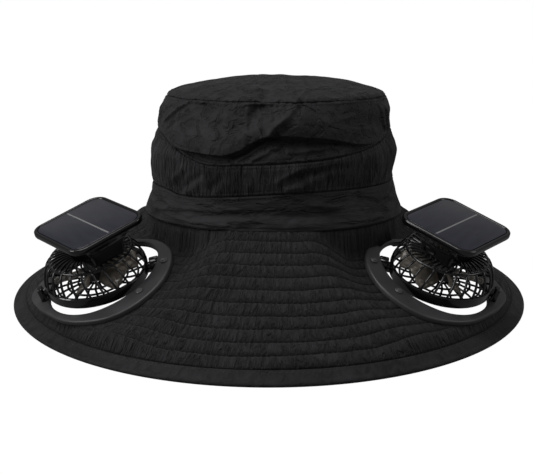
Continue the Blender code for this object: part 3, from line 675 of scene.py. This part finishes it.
# Brim and hem
brim = {
    "halfWidth": 182 * mm,
    "halfDepth": 185.5 * mm,
    "seamGap": -2.2 * mm,  # tucked in under the crown
    "hemReach": 9 * mm,
    "wall": 1.8 * mm,
    "rows": 11,  # spaces between the stitched rings
    "girth": 0.86,
    "depth": 0.099,
    "across": 640,
    "up": 66,
}


def seatHeight(matrix, x, y):
    normal = Vector((matrix[0][2], matrix[1][2], matrix[2][2]))
    point = matrix.translation - normal * (plateShape["thickness"] + plateShape["seatGap"])
    return point.z - (normal.x * (x - point.x) + normal.y * (y - point.y)) / normal.z


def brimPoint(angle, share, wrinkled=True):
    theta = math.radians(angle - 90)
    inner = crownPoint(angle, 0.0)
    outer = Vector((brim["halfWidth"] * math.cos(theta), brim["halfDepth"] * math.sin(theta), 0.0))
    across = math.hypot(outer.x - inner.x, outer.y - inner.y)
    start, end = brim["seamGap"] / across, 1 - brim["hemReach"] / across
    point = inner.lerp(outer, start + (end - start) * share)
    quiet = 0.0
    for side in (-1, 1):
        matrix = plateFrames[side]
        seat = seatHeight(matrix, point.x, point.y)
        local = plateInverse[side] @ Vector((point.x, point.y, seat))
        dx, dy = local.x - plateShape["outlineCentre"][0], local.y - plateShape["outlineCentre"][1]
        away = math.hypot(dx, dy) - plateShape["radius"]
        hold = 1 - smoothStep((away - plateShape["seatMargin"]) / plateShape["seatFade"])
        hold *= smoothStep(share / 0.04) * smoothStep((1 - share) / 0.08)
        point.z += (seat - point.z) * hold
        quiet = max(quiet, 1 - smoothStep((away - 1 * mm) / (4 * mm)))
    if wrinkled:
        row = share * brim["rows"]
        puff = abs(math.sin(row * math.pi)) ** 0.6
        lift = 0.16 * puff * (1 + 0.5 * ripple(angle * 0.35, row, 1.0))
        lift += 1.0 * ripple(angle * 0.8, row * 0.45, 4.0) * (0.35 + 0.65 * puff)
        lift += 1.0 * ripple(angle * 0.06, share * 4, 8.0)
        edge = smoothStep(share / 0.03) * smoothStep((1 - share) / 0.03)
        point.z += lift * mm * edge * (1 - quiet)
        point.z -= 0.6 * mm * bell(share * 95 / 1.2)
    return point


def openingReach(side, point):
    local = plateInverse[side] @ point
    dx, dy = local.x - plateShape["openingCentre"][0], local.y - plateShape["openingCentre"][1]
    angle = math.degrees(math.atan2(dy, dx)) % 360
    return local, math.hypot(dx, dy), follow(plateEdge, angle, 2) * plateShape["opening"] + 0.6 * mm


def cutWindows(bm):
    for side in (-1, 1):
        inside = []
        for vert in bm.verts:
            if vert.co.x * side > 0 and vert.co.y < 0:
                local, reach, edge = openingReach(side, vert.co)
                if reach < edge and abs(local.z) < 30 * mm:
                    inside.append(vert)
        bmesh.ops.delete(bm, geom=inside, context="VERTS")
        rim = set()
        for edgeLoop in bm.edges:
            if edgeLoop.is_boundary:
                rim.update(edgeLoop.verts)
        cx, cy = plateShape["openingCentre"]
        for vert in rim:
            if vert.co.x * side <= 0 or vert.co.y > 0:
                continue
            local, reach, edge = openingReach(side, vert.co)
            if reach < edge + 4 * mm:
                local.x = cx + (local.x - cx) * edge / reach
                local.y = cy + (local.y - cy) * edge / reach
                vert.co = plateFrames[side] @ local


brimGrid = clothGrid(
    brim["across"],
    brim["up"],
    lambda u, v: brimPoint(-180 + 360 * u, 1 - v),
    (brim["girth"], brim["depth"]),
)
bmesh.ops.remove_doubles(brimGrid, verts=brimGrid.verts[:], dist=1e-6)
cutWindows(brimGrid)
brimCloth = makePiece("brimCloth", brimGrid, "hat", quiltNylon, "crinkle", ["brim"], closed=False)
thicken(brimCloth, brim["wall"])


def hemSection(angle):
    theta = math.radians(angle - 90)
    inner = crownPoint(angle, 0.0)
    outer = Vector((brim["halfWidth"] * math.cos(theta), brim["halfDepth"] * math.sin(theta), 0.0))
    across = math.hypot(outer.x - inner.x, outer.y - inner.y)
    top = inner.lerp(outer, 1 - brim["hemReach"] / across)
    inward = Vector((inner.x - outer.x, inner.y - outer.y, 0)).normalized()
    up = Vector((0, 0, 1))
    wave = 0.35 * mm * ripple(angle * 0.25, 1.0, 0.0)
    return [
        top + up * (0.1 * mm),
        top.lerp(outer, 0.22) + up * (0.9 * mm + wave),
        top.lerp(outer, 0.6) + up * (1.2 * mm + wave),
        outer + inward * (1.2 * mm) + up * (2.9 * mm),
        outer + inward * (0.15 * mm) + up * (1.5 * mm),
        outer + inward * (1.0 * mm) + up * (0.1 * mm),
        outer + inward * (4.0 * mm),
        top - up * (2.2 * mm),
        top + inward * (0.6 * mm) - up * (1.0 * mm),
    ]


def closedCurve(points, t):  # Catmull-Rom round a closed section
    count = len(points)
    place = t * count
    i = int(place) % count
    s = place - int(place)
    a, b, c, d = points[i - 1], points[i], points[(i + 1) % count], points[(i + 2) % count]
    bend = (2 * a - 5 * b + 4 * c - d) * s * s + (3 * b - 3 * c + d - a) * s**3
    return 0.5 * (2 * b + (c - a) * s + bend)


hemSections = {}


def hemPlace(u, v):
    key = round(u, 6)
    if key not in hemSections:
        hemSections[key] = hemSection(-180 + 360 * u)
    return closedCurve(hemSections[key], 1 - v)


hemGrid = clothGrid(720, 30, hemPlace, (1.13, 0.024))
hemBand = makePiece("hemBand", hemGrid, "hat", hemNylon, "cloth", ["brim_hem"])
print("brim sewn")

# Stitching
stitching = {
    "length": 2.3 * mm,
    "space": 3.3 * mm,
    "width": 0.55 * mm,
    "height": 0.4 * mm,
}


def addStitches(target, pointAt, start=-180.0, stop=180.0, sink=0.1 * mm, skip=None):
    bm = bmesh.new()
    steps = 1500
    samples = [pointAt(start + (stop - start) * i / steps) for i in range(steps + 1)]
    walked, due = 0.0, 0.0
    for before, after in zip(samples, samples[1:]):
        walked += (after - before).length
        if walked < due:
            continue
        due += stitching["space"]
        along = (after - before).normalized()
        middle = (before + after) / 2
        if skip and skip(middle):
            continue
        outward = Vector((middle.x, middle.y, 0.06)).normalized()
        across = along.cross(outward).normalized()
        up = across.cross(along).normalized()
        if up.z < -0.2:
            up.negate()
        matrix = Matrix([list(row) for row in zip(along, across, up)]).to_4x4()
        matrix.translation = middle - up * sink
        size = (stitching["length"], stitching["width"], stitching["height"])
        matrix = matrix @ Matrix.Diagonal((*size, 1))
        bmesh.ops.create_uvsphere(bm, u_segments=6, v_segments=4, radius=0.5, matrix=matrix)
    mesh = bpy.data.meshes.new("row")
    bm.to_mesh(mesh)
    bm.free()
    target.from_mesh(mesh)
    bpy.data.meshes.remove(mesh)


def underPlate(point):
    for side in (-1, 1):
        local = plateInverse[side] @ point
        dx, dy = local.x - plateShape["outlineCentre"][0], local.y - plateShape["outlineCentre"][1]
        edge = follow(plateEdge, math.degrees(math.atan2(dy, dx)) % 360, 1) * plateShape["radius"]
        if point.x * side > 0 and math.hypot(dx, dy) < edge + 1 * mm and abs(local.z) < 25 * mm:
            return True
    return False


brimRows = bmesh.new()
for row in range(1, brim["rows"]):
    addStitches(brimRows, lambda a, s=row / brim["rows"]: brimPoint(a, s), skip=underPlate)
addStitches(brimRows, lambda a: brimPoint(a, 0.035), skip=underPlate)
brimStitches = makePiece("brimStitches", brimRows, "hat", threadBlack, "cloth")

hemRows = bmesh.new()
addStitches(hemRows, lambda a: closedCurve(hemSection(a), 0.6 / 9), sink=0.05 * mm, skip=underPlate)
addStitches(hemRows, lambda a: closedCurve(hemSection(a), 1.15 / 9), sink=0.05 * mm, skip=underPlate)
hemStitches = makePiece("hemStitches", hemRows, "hat", threadBlack, "cloth")


def crownStitch(angle, low, high, offset, gather):
    span = (high - low) * crownTall
    v = offset / span if offset > 0 else 1 + offset / span
    return sidePoint(angle, low, high, v, gather)


crownRows = bmesh.new()
addStitches(crownRows, lambda a: crownStitch(a, 0.0, seamAt(a, 1), -2.2, bandGather))
addStitches(crownRows, lambda a: crownStitch(a, seamAt(a, 2), 1.0, 2.2, softGather))
addStitches(crownRows, lambda a: crownStitch(a, seamAt(a, 2), 1.0, -2.2, softGather))
crownStitches = makePiece("crownStitches", crownRows, "hat", threadBlack, "cloth")
print("stitched")

# Fan parts, built in the axes of the fan or of the plate
fan = {
    "ringRadius": 34 * mm,
    "ringLow": -0.4 * mm,
    "ringHigh": 6.6 * mm,
    "ribs": 24,
    "ribRadius": 0.85 * mm,
    "shoulderRadius": 26.9 * mm,
    "height": 21.4 * mm,
    "spokes": 36,
    "spokeRadius": 0.75 * mm,
    "swirl": math.radians(24),  # of the top spokes, and lean of the side ribs
    "lean": math.radians(11),
    "hubRadius": 10.4 * mm,
    "lowSpokes": 20,
    "lowGuard": 0.6 * mm,
    "lowRadius": 0.75 * mm,
    "pinRadius": 2.4 * mm,
    "outerReach": 37.6 * mm,
    "innerReach": 39 * mm,
}
wheel = {
    "hubRadius": 8.2 * mm,
    "hubTop": 9.0 * mm,
    "hubHeight": 7.2 * mm,
    "blades": 6,
    "tip": 28.6 * mm,
    "chord": 15 * mm,
    "pitchRoot": math.radians(48),
    "pitchTip": math.radians(36),
    "middle": 7.0 * mm,
}
panel = {
    "turn": math.radians(-57.3),
    "side": 56 * mm,
    "corner": 9.6 * mm,
    "thickness": 4.6 * mm,
    "top": 41.7 * mm,
    "offset": {-1: (3.4 * mm, 0.6 * mm, 0.0), 1: (-0.9 * mm, 1.4 * mm, 0.0)},
    "bezel": 2.6 * mm,
    "recess": 1.3 * mm,
    "busbar": 1.1 * mm,
}


def lathe(bm, profile, steps=72, closed=True):  # profile: (radius, height) turned round z
    verts = [bm.verts.new((r, 0.0, z)) for r, z in profile]
    pairs = zip(verts, verts[1:] + verts[:1]) if closed else zip(verts, verts[1:])
    edges = [bm.edges.new(pair) for pair in pairs]
    bmesh.ops.spin(
        bm,
        geom=verts + edges,
        cent=(0, 0, 0),
        axis=(0, 0, 1),
        angle=2 * math.pi,
        steps=steps,
        use_merge=True,
    )


def joinInto(target, bm):
    bmesh.ops.remove_doubles(bm, verts=bm.verts[:], dist=1e-6)
    bmesh.ops.recalc_face_normals(bm, faces=bm.faces[:])
    mesh = bpy.data.meshes.new("piece")
    bm.to_mesh(mesh)
    bm.free()
    target.from_mesh(mesh)
    bpy.data.meshes.remove(mesh)


def rod(target, path, radius, segments=8, flat=1.0, guide=(0, 0, 1)):  # round bar along a path
    bm = bmesh.new()
    last = len(path) - 1
    bmesh.ops.create_grid(bm, x_segments=segments, y_segments=last, size=0.5)
    for vert in bm.verts:
        k = round((vert.co.y + 0.5) * last)
        turn = (vert.co.x + 0.5) * 2 * math.pi
        ahead = (path[min(k + 1, last)] - path[max(k - 1, 0)]).normalized()
        x = Vector(guide).cross(ahead).normalized()
        y = ahead.cross(x)
        vert.co = path[k] + x * math.cos(turn) * radius + y * math.sin(turn) * radius * flat
    bmesh.ops.remove_doubles(bm, verts=bm.verts[:], dist=1e-6)
    bmesh.ops.holes_fill(bm, edges=[e for e in bm.edges if e.is_boundary], sides=0)
    joinInto(target, bm)


def turned(target, profile, steps=72, closed=True):
    bm = bmesh.new()
    lathe(bm, profile, steps, closed)
    joinInto(target, bm)


def toWorld(bm, matrix):
    bm.transform(matrix)
    if matrix.determinant() < 0:
        bmesh.ops.reverse_faces(bm, faces=bm.faces[:])
    return bm


def around(radius, angle, z):
    return Vector((radius * math.cos(angle), radius * math.sin(angle), z))


def guardBase():
    bm = bmesh.new()
    r, low, high = fan["ringRadius"], fan["ringLow"], fan["ringHigh"]
    profile = [
        (r - 1.4 * mm, low),
        (r - 0.4 * mm, low),
        (r, low + 0.5 * mm),
        (r, high - 1.9 * mm),
        (r + 0.35 * mm, high - 1.5 * mm),
        (r + 0.35 * mm, high - 0.5 * mm),
        (r - 0.1 * mm, high),
        (r - 1.4 * mm, high),
        (r - 1.8 * mm, high - 0.4 * mm),
        (r - 1.8 * mm, low + 0.4 * mm),
    ]
    turned(bm, profile, 96)
    for side in (-1, 1):  # pins on the tilt axis, with a collar
        start = (r - 1.5 * mm) * side
        end = fan["innerReach"] if side > 0 else -fan["outerReach"]
        rod(bm, [Vector((start, 0, 0)), Vector((end, 0, 0))], fan["pinRadius"], 20)
        rod(bm, [Vector((start, 0, 0)), Vector((start + 2.4 * mm * side, 0, 0))], 3.6 * mm, 20)
    return bm


def guardRibs():
    bm = bmesh.new()
    top = fan["height"]
    step = 2 * math.pi / fan["ribs"]
    shape = [(33.4, 6.2), (33.3, 8.0), (32.9, 10.5), (31.9, 14.0), (30.3, 17.0), (28.4, 19.3), (26.6, 20.6)]
    for i in range(fan["ribs"]):
        path = []
        for r, z in shape:
            lean = fan["lean"] * (top / mm - z) / (top / mm)
            path.append(around(r * mm, step * i + lean, z * mm))
        rod(bm, path, fan["ribRadius"], 8, 0.8)
    for i in range(fan["spokes"]):
        start = 2 * math.pi / fan["spokes"] * i
        path = []
        for k in range(7):
            share = k / 6
            r = fan["shoulderRadius"] + (fan["hubRadius"] - 0.5 * mm - fan["shoulderRadius"]) * share
            z = 20.5 * mm + 0.7 * mm * math.sin(share * math.pi)
            path.append(around(r, start - fan["swirl"] * share**1.3, z))
        rod(bm, path, fan["spokeRadius"], 6, 1.1)
    ring = [
        (fan["shoulderRadius"] + 0.9 * mm * math.cos(a), 20.3 * mm + 0.8 * mm * math.sin(a))
        for a in (k * math.pi / 4 for k in range(8))
    ]
    turned(bm, ring, 96)
    low = fan["lowGuard"]
    for i in range(fan["lowSpokes"]):  # low guard under the wheel
        turn = 2 * math.pi / fan["lowSpokes"] * i
        path = [around(r * mm, turn + 0.012 * r, low) for r in (5.0, 14.0, 23.0, 32.8)]
        rod(bm, path, fan["lowRadius"], 6, 0.9)
    for r in (6.0, 13.0, 20.0, 27.0):
        sides = [k * math.pi / 3 for k in range(6)]
        ring = [(r * mm + fan["lowRadius"] * math.cos(a), low + 0.7 * mm * math.sin(a)) for a in sides]
        turned(bm, ring, 64)
    hub = fan["hubRadius"]
    disc = [
        (0.0, 20.0 * mm),
        (hub, 20.0 * mm),
        (hub + 0.3 * mm, 20.4 * mm),
        (hub, 21.2 * mm),
        (hub - 0.6 * mm, 21.4 * mm),
        (0.0, 21.4 * mm),
    ]
    turned(bm, disc, 48, closed=False)
    return bm


def wheelHub():
    bm = bmesh.new()
    r, top, low = wheel["hubRadius"], wheel["hubTop"], wheel["hubTop"] - wheel["hubHeight"]
    profile = [
        (0.0, low),
        (r * 0.55, low + 0.2 * mm),
        (r * 0.9, low + 0.9 * mm),
        (r, low + 2.0 * mm),
        (r, top - 0.4 * mm),
        (r - 0.4 * mm, top),
        (0.0, top),
    ]
    turned(bm, profile, 40, closed=False)
    return bm


def wheelBlades():
    bm = bmesh.new()
    for i in range(wheel["blades"]):
        blade = bmesh.new()
        bmesh.ops.create_grid(blade, x_segments=10, y_segments=12, size=0.5)
        for vert in blade.verts:
            across, out = vert.co.x, vert.co.y + 0.5
            r = wheel["hubRadius"] - 0.3 * mm + (wheel["tip"] - wheel["hubRadius"]) * out
            chord = wheel["chord"] * (0.62 + 0.5 * out - 0.12 * out * out)
            pitch = wheel["pitchRoot"] + (wheel["pitchTip"] - wheel["pitchRoot"]) * out
            along = across * chord
            camber = 1.6 * mm * (1 - 4 * across * across) * (0.5 + 0.5 * out)
            tipRound = 1 - 0.16 * max(0.0, out - 0.75) * (2 * across) ** 2
            y = along * math.cos(pitch) - camber * math.sin(pitch)
            z = along * math.sin(pitch) + camber * math.cos(pitch)
            turn = 2 * math.pi * i / wheel["blades"] + y / max(r, 10 * mm) + 0.18 * out
            vert.co = around(r * tipRound, turn, z + wheel["middle"])
        bmesh.ops.recalc_face_normals(blade, faces=blade.faces[:])
        bmesh.ops.solidify(blade, geom=blade.faces[:], thickness=1.1 * mm)
        joinInto(bm, blade)
    return bm


def motorCan():
    bm = bmesh.new()
    profile = [
        (0.0, 9.6 * mm),
        (1.3 * mm, 9.6 * mm),
        (1.3 * mm, 9.9 * mm),
        (6.4 * mm, 9.9 * mm),
        (7.0 * mm, 10.5 * mm),
        (7.0 * mm, 18.6 * mm),
        (6.5 * mm, 19.1 * mm),
        (0.0, 19.1 * mm),
    ]
    turned(bm, profile, 40, closed=False)
    return bm


panelTurns = {
    side: Matrix.Translation(offset) @ Matrix.Rotation(panel["turn"], 4, "Z")
    for side, offset in panel["offset"].items()
}


def roundedSlab(width, depth, low, high, corner, steps=8):  # upright edges rounded
    bm = bmesh.new()
    bmesh.ops.create_cube(bm, size=1.0)
    for vert in bm.verts:
        vert.co = Vector((vert.co.x * width, vert.co.y * depth, low if vert.co.z < 0 else high))
    upright = [e for e in bm.edges if abs(e.verts[0].co.z - e.verts[1].co.z) > 1e-6]
    bmesh.ops.bevel(
        bm, geom=upright, offset=corner, segments=steps, profile=0.5, affect="EDGES", material=-1
    )
    return bm


def flatFace(bm, up=1):
    return max(bm.faces, key=lambda f: f.calc_center_median().z * up)


def roundRim(bm, face, offset, segments=3):
    rim = list(face.edges)
    bmesh.ops.bevel(
        bm, geom=rim, offset=offset, segments=segments, profile=0.5, affect="EDGES", material=-1
    )


def batteryCase(side):
    box = fanBox
    bm = roundedSlab(box["length"], box["width"], 0.0, 1.0, box["corner"], 6)
    bm.transform(Matrix.Translation((box["shift"][0], box["shift"][1], 0)))
    low, high = 21.7 * mm, panel["top"] - panel["thickness"] - 0.3 * mm
    for vert in bm.verts:
        vert.co.z = low if vert.co.z < 0.5 else high
    levels = [(0.0, 0.0), (0.35, 0.06), (0.62, 0.22), (0.84, 0.6), (0.94, 0.9), (1.0, 1.0)]
    bmesh.ops.subdivide_edges(
        bm, edges=[e for e in bm.edges if abs(e.verts[0].co.z - e.verts[1].co.z) > 1e-6], cuts=11
    )
    for vert in bm.verts:
        share = (vert.co.z - low) / (high - low)
        flare = follow(levels, share, 1)
        aside = vert.co.x - box["shift"][0]
        vert.co.x += flare * aside * box["flareLong"] - flare * box["shift"][0] * 0.55
        vert.co.y += flare * (vert.co.y - box["shift"][1]) * box["flareWide"] - flare * box["shift"][1]
    roundRim(bm, flatFace(bm, -1), 0.9 * mm)
    bm.transform(panelTurns[side])
    return bm


def panelBezel(side):
    width, top, low = panel["side"], panel["top"], panel["top"] - panel["thickness"]
    bm = roundedSlab(width, width, low, top, panel["corner"], 14)
    well = flatFace(bm)
    bmesh.ops.inset_region(bm, faces=[well], thickness=panel["bezel"], depth=0.0, use_even_offset=True)
    sunk = bmesh.ops.extrude_discrete_faces(bm, faces=[well])["faces"][0]
    bmesh.ops.translate(bm, verts=sunk.verts, vec=(0, 0, -panel["recess"]))
    outline = [
        e
        for e in bm.edges
        if abs(e.verts[0].co.z - top) < 0.01 * mm
        and abs(e.verts[1].co.z - top) < 0.01 * mm
        and len(e.link_faces) == 2
        and any(abs(f.normal.z) < 0.1 for f in e.link_faces)
        and max(abs(e.verts[0].co.x), abs(e.verts[0].co.y)) > width / 2 - panel["corner"]
    ]
    bmesh.ops.bevel(
        bm, geom=outline, offset=1.0 * mm, segments=4, profile=0.5, affect="EDGES", material=-1
    )
    roundRim(bm, flatFace(bm, -1), 2.2 * mm, 5)
    bm.transform(panelTurns[side])
    return bm


def cellSheet(side):
    inner = panel["side"] - 2 * panel["bezel"] - 0.6 * mm
    low, high = panel["top"] - panel["recess"] + 0.25 * mm, panel["top"] - 0.15 * mm
    bm = roundedSlab(inner, inner, low, high, panel["corner"] - panel["bezel"] - 0.3 * mm, 10)
    roundRim(bm, flatFace(bm), 0.35 * mm, 2)
    uv = bm.loops.layers.uv.new("UVMap")
    for face in bm.faces:
        for loop in face.loops:
            loop[uv].uv = (loop.vert.co.x, loop.vert.co.y)
    bm.transform(panelTurns[side])
    return bm


def busbarStrip(side):
    length = panel["side"] - 2 * panel["bezel"] - 3.4 * mm
    top = panel["top"] - 0.15 * mm
    bm = roundedSlab(length, panel["busbar"], top - 0.2 * mm, top + 0.06 * mm, 0.3 * mm, 2)
    bm.transform(panelTurns[side])
    return bm


def chargePort(side):  # small socket with a raised rim in the case's end
    bm = bmesh.new()
    bmesh.ops.create_cube(bm, size=1.0)
    for vert in bm.verts:
        vert.co = Vector((vert.co.x * 1.2 * mm, vert.co.y * 8.6 * mm, vert.co.z * 3.4 * mm))
    long = [e for e in bm.edges if abs(e.verts[0].co.x - e.verts[1].co.x) > 1e-6]
    bmesh.ops.bevel(bm, geom=long, offset=1.5 * mm, segments=5, profile=0.5, affect="EDGES", material=-1)
    front = max(bm.faces, key=lambda f: f.calc_center_median().x)
    bmesh.ops.inset_region(bm, faces=[front], thickness=0.5 * mm, depth=0.0)
    front = max((f for f in bm.faces if f.normal.x > 0.9), key=lambda f: f.calc_area())
    sunk = bmesh.ops.extrude_discrete_faces(bm, faces=[front])["faces"][0]
    bmesh.ops.translate(bm, verts=sunk.verts, vec=(-0.9 * mm, 0, 0))
    bm.transform(Matrix.Translation(fanBox["port"]))
    bm.transform(panelTurns[side])
    return bm


def ringPlate():
    bm = bmesh.new()
    ox, oy = plateShape["outlineCentre"]
    ix, iy = plateShape["openingCentre"]
    t, r0, r1 = plateShape["thickness"], plateShape["radius"], plateShape["opening"]
    # column, centre, radius, ease, height
    levels = [
        (1, (ox, oy), r0, 0.0, -t),
        (1, (ox, oy), r0, 0.0, -0.9 * mm),
        (1, (ox, oy), r0, -0.25 * mm, -0.35 * mm),
        (1, (ox, oy), r0, -0.9 * mm, 0.0),
        (1, (ox, oy), r0, -1.6 * mm, 0.0),
        (2, (ix, iy), r1, 1.5 * mm, 0.0),
        (2, (ix, iy), r1, 0.7 * mm, -0.1 * mm),
        (2, (ix, iy), r1, 0.15 * mm, -0.5 * mm),
        (2, (ix, iy), r1, 0.0, -1.1 * mm),
        (2, (ix, iy), r1, 0.0, -t),
    ]
    count = len(levels)
    bmesh.ops.create_grid(bm, x_segments=120, y_segments=count, size=0.5)
    for vert in bm.verts:
        turn = 360 * (vert.co.x + 0.5) % 360
        column, centre, radius, ease, height = levels[round((vert.co.y + 0.5) * count) % count]
        reach = follow(plateEdge, turn, column) * radius + ease
        angle = math.radians(turn)
        vert.co = Vector((centre[0] + reach * math.cos(angle), centre[1] + reach * math.sin(angle), height))
    bmesh.ops.remove_doubles(bm, verts=bm.verts[:], dist=1e-6)
    bmesh.ops.recalc_face_normals(bm, faces=bm.faces[:])
    return bm


def rivetCap(angle, distance):
    bm = bmesh.new()
    profile = [
        (1.15 * mm, -2.8 * mm),
        (1.15 * mm, 0.25 * mm),
        (2.35 * mm, 0.25 * mm),
        (2.45 * mm, 0.6 * mm),
        (2.1 * mm, 0.85 * mm),
        (1.75 * mm, 0.7 * mm),
        (1.5 * mm, 0.75 * mm),
        (1.2 * mm, 1.15 * mm),
        (0.6 * mm, 1.3 * mm),
        (0.0, 1.32 * mm),
    ]
    turned(bm, [(0.0, -2.8 * mm)] + profile, 28, closed=False)
    reach = distance * plateShape["radius"]
    cx, cy = plateShape["openingCentre"]
    bm.transform(
        Matrix.Translation(
            (cx + reach * math.cos(math.radians(angle)), cy + reach * math.sin(math.radians(angle)), 0)
        )
    )
    return bm


def outerPivot():
    bm = roundedSlab(4.4 * mm, 7.6 * mm, 0.3 * mm, 9.2 * mm, 1.6 * mm, 6)
    bmesh.ops.translate(bm, verts=bm.verts, vec=(-37.2 * mm, -3.3 * mm, 0))
    for vert in flatFace(bm).verts:
        vert.co.x = -37.1 * mm + (vert.co.x + 37.1 * mm) * 0.9
        vert.co.y = -3.3 * mm + (vert.co.y + 3.3 * mm) * 0.84
    roundRim(bm, flatFace(bm), 0.9 * mm, 4)
    return bm


def innerPivot():  # fluted barrel round the pin, in the fan's axes
    bm = bmesh.new()
    flutes = 14
    profile = [(35.0, 5.0), (35.2, 5.7), (35.7, 6.2), (40.6, 6.2), (41.2, 5.8), (41.5, 5.0)]
    barrel = bmesh.new()
    bmesh.ops.create_grid(barrel, x_segments=flutes * 8, y_segments=len(profile) - 1, size=0.5)
    for vert in barrel.verts:
        k = round((vert.co.y + 0.5) * (len(profile) - 1))
        turn = (vert.co.x + 0.5) * 2 * math.pi
        x, r = profile[k]
        groove = 0.75 * max(0.0, math.cos(turn * flutes)) ** 2 if 1 < k < 4 else 0.0
        r = (r - groove) * mm
        vert.co = Vector((x * mm, r * math.cos(turn), r * math.sin(turn)))
    bmesh.ops.remove_doubles(barrel, verts=barrel.verts[:], dist=1e-6)
    bmesh.ops.holes_fill(barrel, edges=[e for e in barrel.edges if e.is_boundary], sides=0)
    joinInto(bm, barrel)
    return bm


fanBox = {  # in the panel's axes: x runs along the busbar
    "length": 31 * mm,
    "width": 24 * mm,
    "shift": (6.5 * mm, -2.5 * mm),
    "corner": 2.6 * mm,
    "flareLong": 0.42,
    "flareWide": 0.58,
    "port": (22.2 * mm, 2.0 * mm, 27.5 * mm),
}
rivetPlaces = [(-16.0, 0.925), (-56.5, 0.890), (118.0, 0.840)]

for prefix, side in (("left", -1), ("right", 1)):
    onPlate, onFan = plateFrames[side], fanFrames[side]
    body, wheelBody = prefix + "_fan", prefix + "_impeller"
    # name, mesh, axes, body, material, slot, node that it replaces
    pieces = [("Plate", ringPlate(), onPlate, "hat", satinPlate, "plate_plastic", "_plate")]
    for number, (angle, distance) in enumerate(rivetPlaces, 1):
        cap = rivetCap(angle, distance)
        pieces.append((f"Rivet{number}", cap, onPlate, "hat", steelHead, "steel", f"_rivet_{number}"))
    pieces += [
        ("OuterPivot", outerPivot(), onPlate, "hat", glossBlack, "black_plastic", "_outer_pivot"),
        ("InnerPivot", innerPivot(), onFan, "hat", glossBlack, "black_plastic", "_inner_pivot"),
        ("GuardBase", guardBase(), onFan, body, glossBlack, "black_plastic", "_cage"),
        ("GuardRibs", guardRibs(), onFan, body, glossBlack, "black_plastic", "_cage"),
        ("Motor", motorCan(), onFan, body, dullSteel, "steel", "_motor"),
        ("WheelHub", wheelHub(), onFan, wheelBody, mattBlack, "smoky_plastic", "_impeller"),
        ("WheelBlades", wheelBlades(), onFan, wheelBody, smokyBlade, "smoky_plastic", "_impeller"),
        ("BatteryCase", batteryCase(side), onFan, body, glossBlack, "black_plastic", "_battery_box"),
        ("PanelBezel", panelBezel(side), onFan, body, glossBlack, "black_plastic", "_panel_frame"),
        ("SolarCell", cellSheet(side), onFan, body, cellBlue, "cell", "_solar_cell"),
        ("Busbar", busbarStrip(side), onFan, body, silverPrint, "silver", "_busbar"),
    ]
    if side > 0:
        pieces.append(("ChargePort", chargePort(side), onFan, body, glossBlack, "black_plastic", None))
    for name, bm, matrix, carrier, material, slotName, node in pieces:
        replaced = [prefix + node] if node else ()
        makePiece(prefix + name, toWorld(bm, matrix), carrier, material, slotName, replaced)
    print(prefix, "fan built")

for piece in bpy.data.objects:  # flat faces stay flat on the hard pieces
    hard = ("Plate", "Pivot", "Case", "Bezel", "Cell", "Busbar", "Port", "Base", "Rivet", "Motor", "Hub")
    if piece.type == "MESH" and piece.name.endswith(hard) or "Rivet" in piece.name:
        piece.data.set_sharp_from_angle(angle=math.radians(38))

# Floor, light and camera
stage = {
    "floorSize": 4.0,
    "floorGlow": 1.0,
    "worldLight": 0.16,
    "keyPower": 8.5,
    "sidePower": 10.0,
}
bm = bmesh.new()
bmesh.ops.create_grid(bm, x_segments=1, y_segments=1, size=stage["floorSize"])
far = [e for e in bm.edges if all(v.co.y > 3.9 for v in e.verts)]
wall = [g for g in bmesh.ops.extrude_edge_only(bm, edges=far)["geom"] if isinstance(g, bmesh.types.BMVert)]
bmesh.ops.translate(bm, verts=wall, vec=(0, 0, 4.0))
bend = [e for e in bm.edges if all(v.co.y > 3.9 and abs(v.co.z) < 0.01 for v in e.verts)]
bmesh.ops.bevel(bm, geom=bend, offset=1.6, segments=14, profile=0.5, affect="EDGES", material=-1)
for face in bm.faces:
    face.smooth = True
floorMesh = bpy.data.meshes.new("floor")
bm.to_mesh(floorMesh)
bm.free()
floor = bpy.data.objects.new("floor", floorMesh)
bpy.context.scene.collection.objects.link(floor)
paper, paperTree, paperShader = startMaterial("paleFloor", (0.02, 0.02, 0.02), 0.9)
paperShader.inputs["Specular IOR Level"].default_value = 0.0
paperShader.inputs["Emission Color"].default_value = (1, 1, 1, 1)
paperShader.inputs["Emission Strength"].default_value = stage["floorGlow"]
floorMesh.materials.append(paper)
floor.visible_glossy = False
floor.visible_diffuse = False

world = bpy.data.worlds.new("studio")
bpy.context.scene.world = world
world.use_nodes = True
world.node_tree.nodes["Background"].inputs["Color"].default_value = (1, 1, 1, 1)
world.node_tree.nodes["Background"].inputs["Strength"].default_value = stage["worldLight"]


def softbox(name, place, target, width, height, power):
    light = bpy.data.lights.new(name, "AREA")
    light.shape = "RECTANGLE"
    light.size, light.size_y = width, height
    light.energy = power
    lamp = bpy.data.objects.new(name, light)
    lamp.location = place
    lamp.rotation_euler = (Vector(target) - Vector(place)).to_track_quat("-Z", "Y").to_euler()
    bpy.context.scene.collection.objects.link(lamp)


softbox("topLight", (-0.35, -0.1, 1.6), (0, 0, 0.05), 1.0, 0.8, stage["keyPower"])
softbox("leftLight", (-1.4, -0.5, 0.9), (0, 0, 0.05), 0.6, 0.9, stage["sidePower"])
softbox("rightLight", (1.4, -0.2, 1.0), (0, 0, 0.05), 0.6, 0.9, stage["sidePower"] * 0.35)

cameraData = bpy.data.cameras.new("camera")
cameraData.sensor_width = 36.0
cameraData.lens = 78.08
cameraData.shift_x = -0.0045
cameraData.clip_start, cameraData.clip_end = 0.01, 50.0
camera = bpy.data.objects.new("camera", cameraData)
camera.location = (0.0, -0.8045, 0.256)
camera.rotation_euler = (math.radians(75), 0, 0)
bpy.context.scene.collection.objects.link(camera)
bpy.context.scene.camera = camera
bpy.context.scene.view_settings.view_transform = "Standard"

print("stage set")
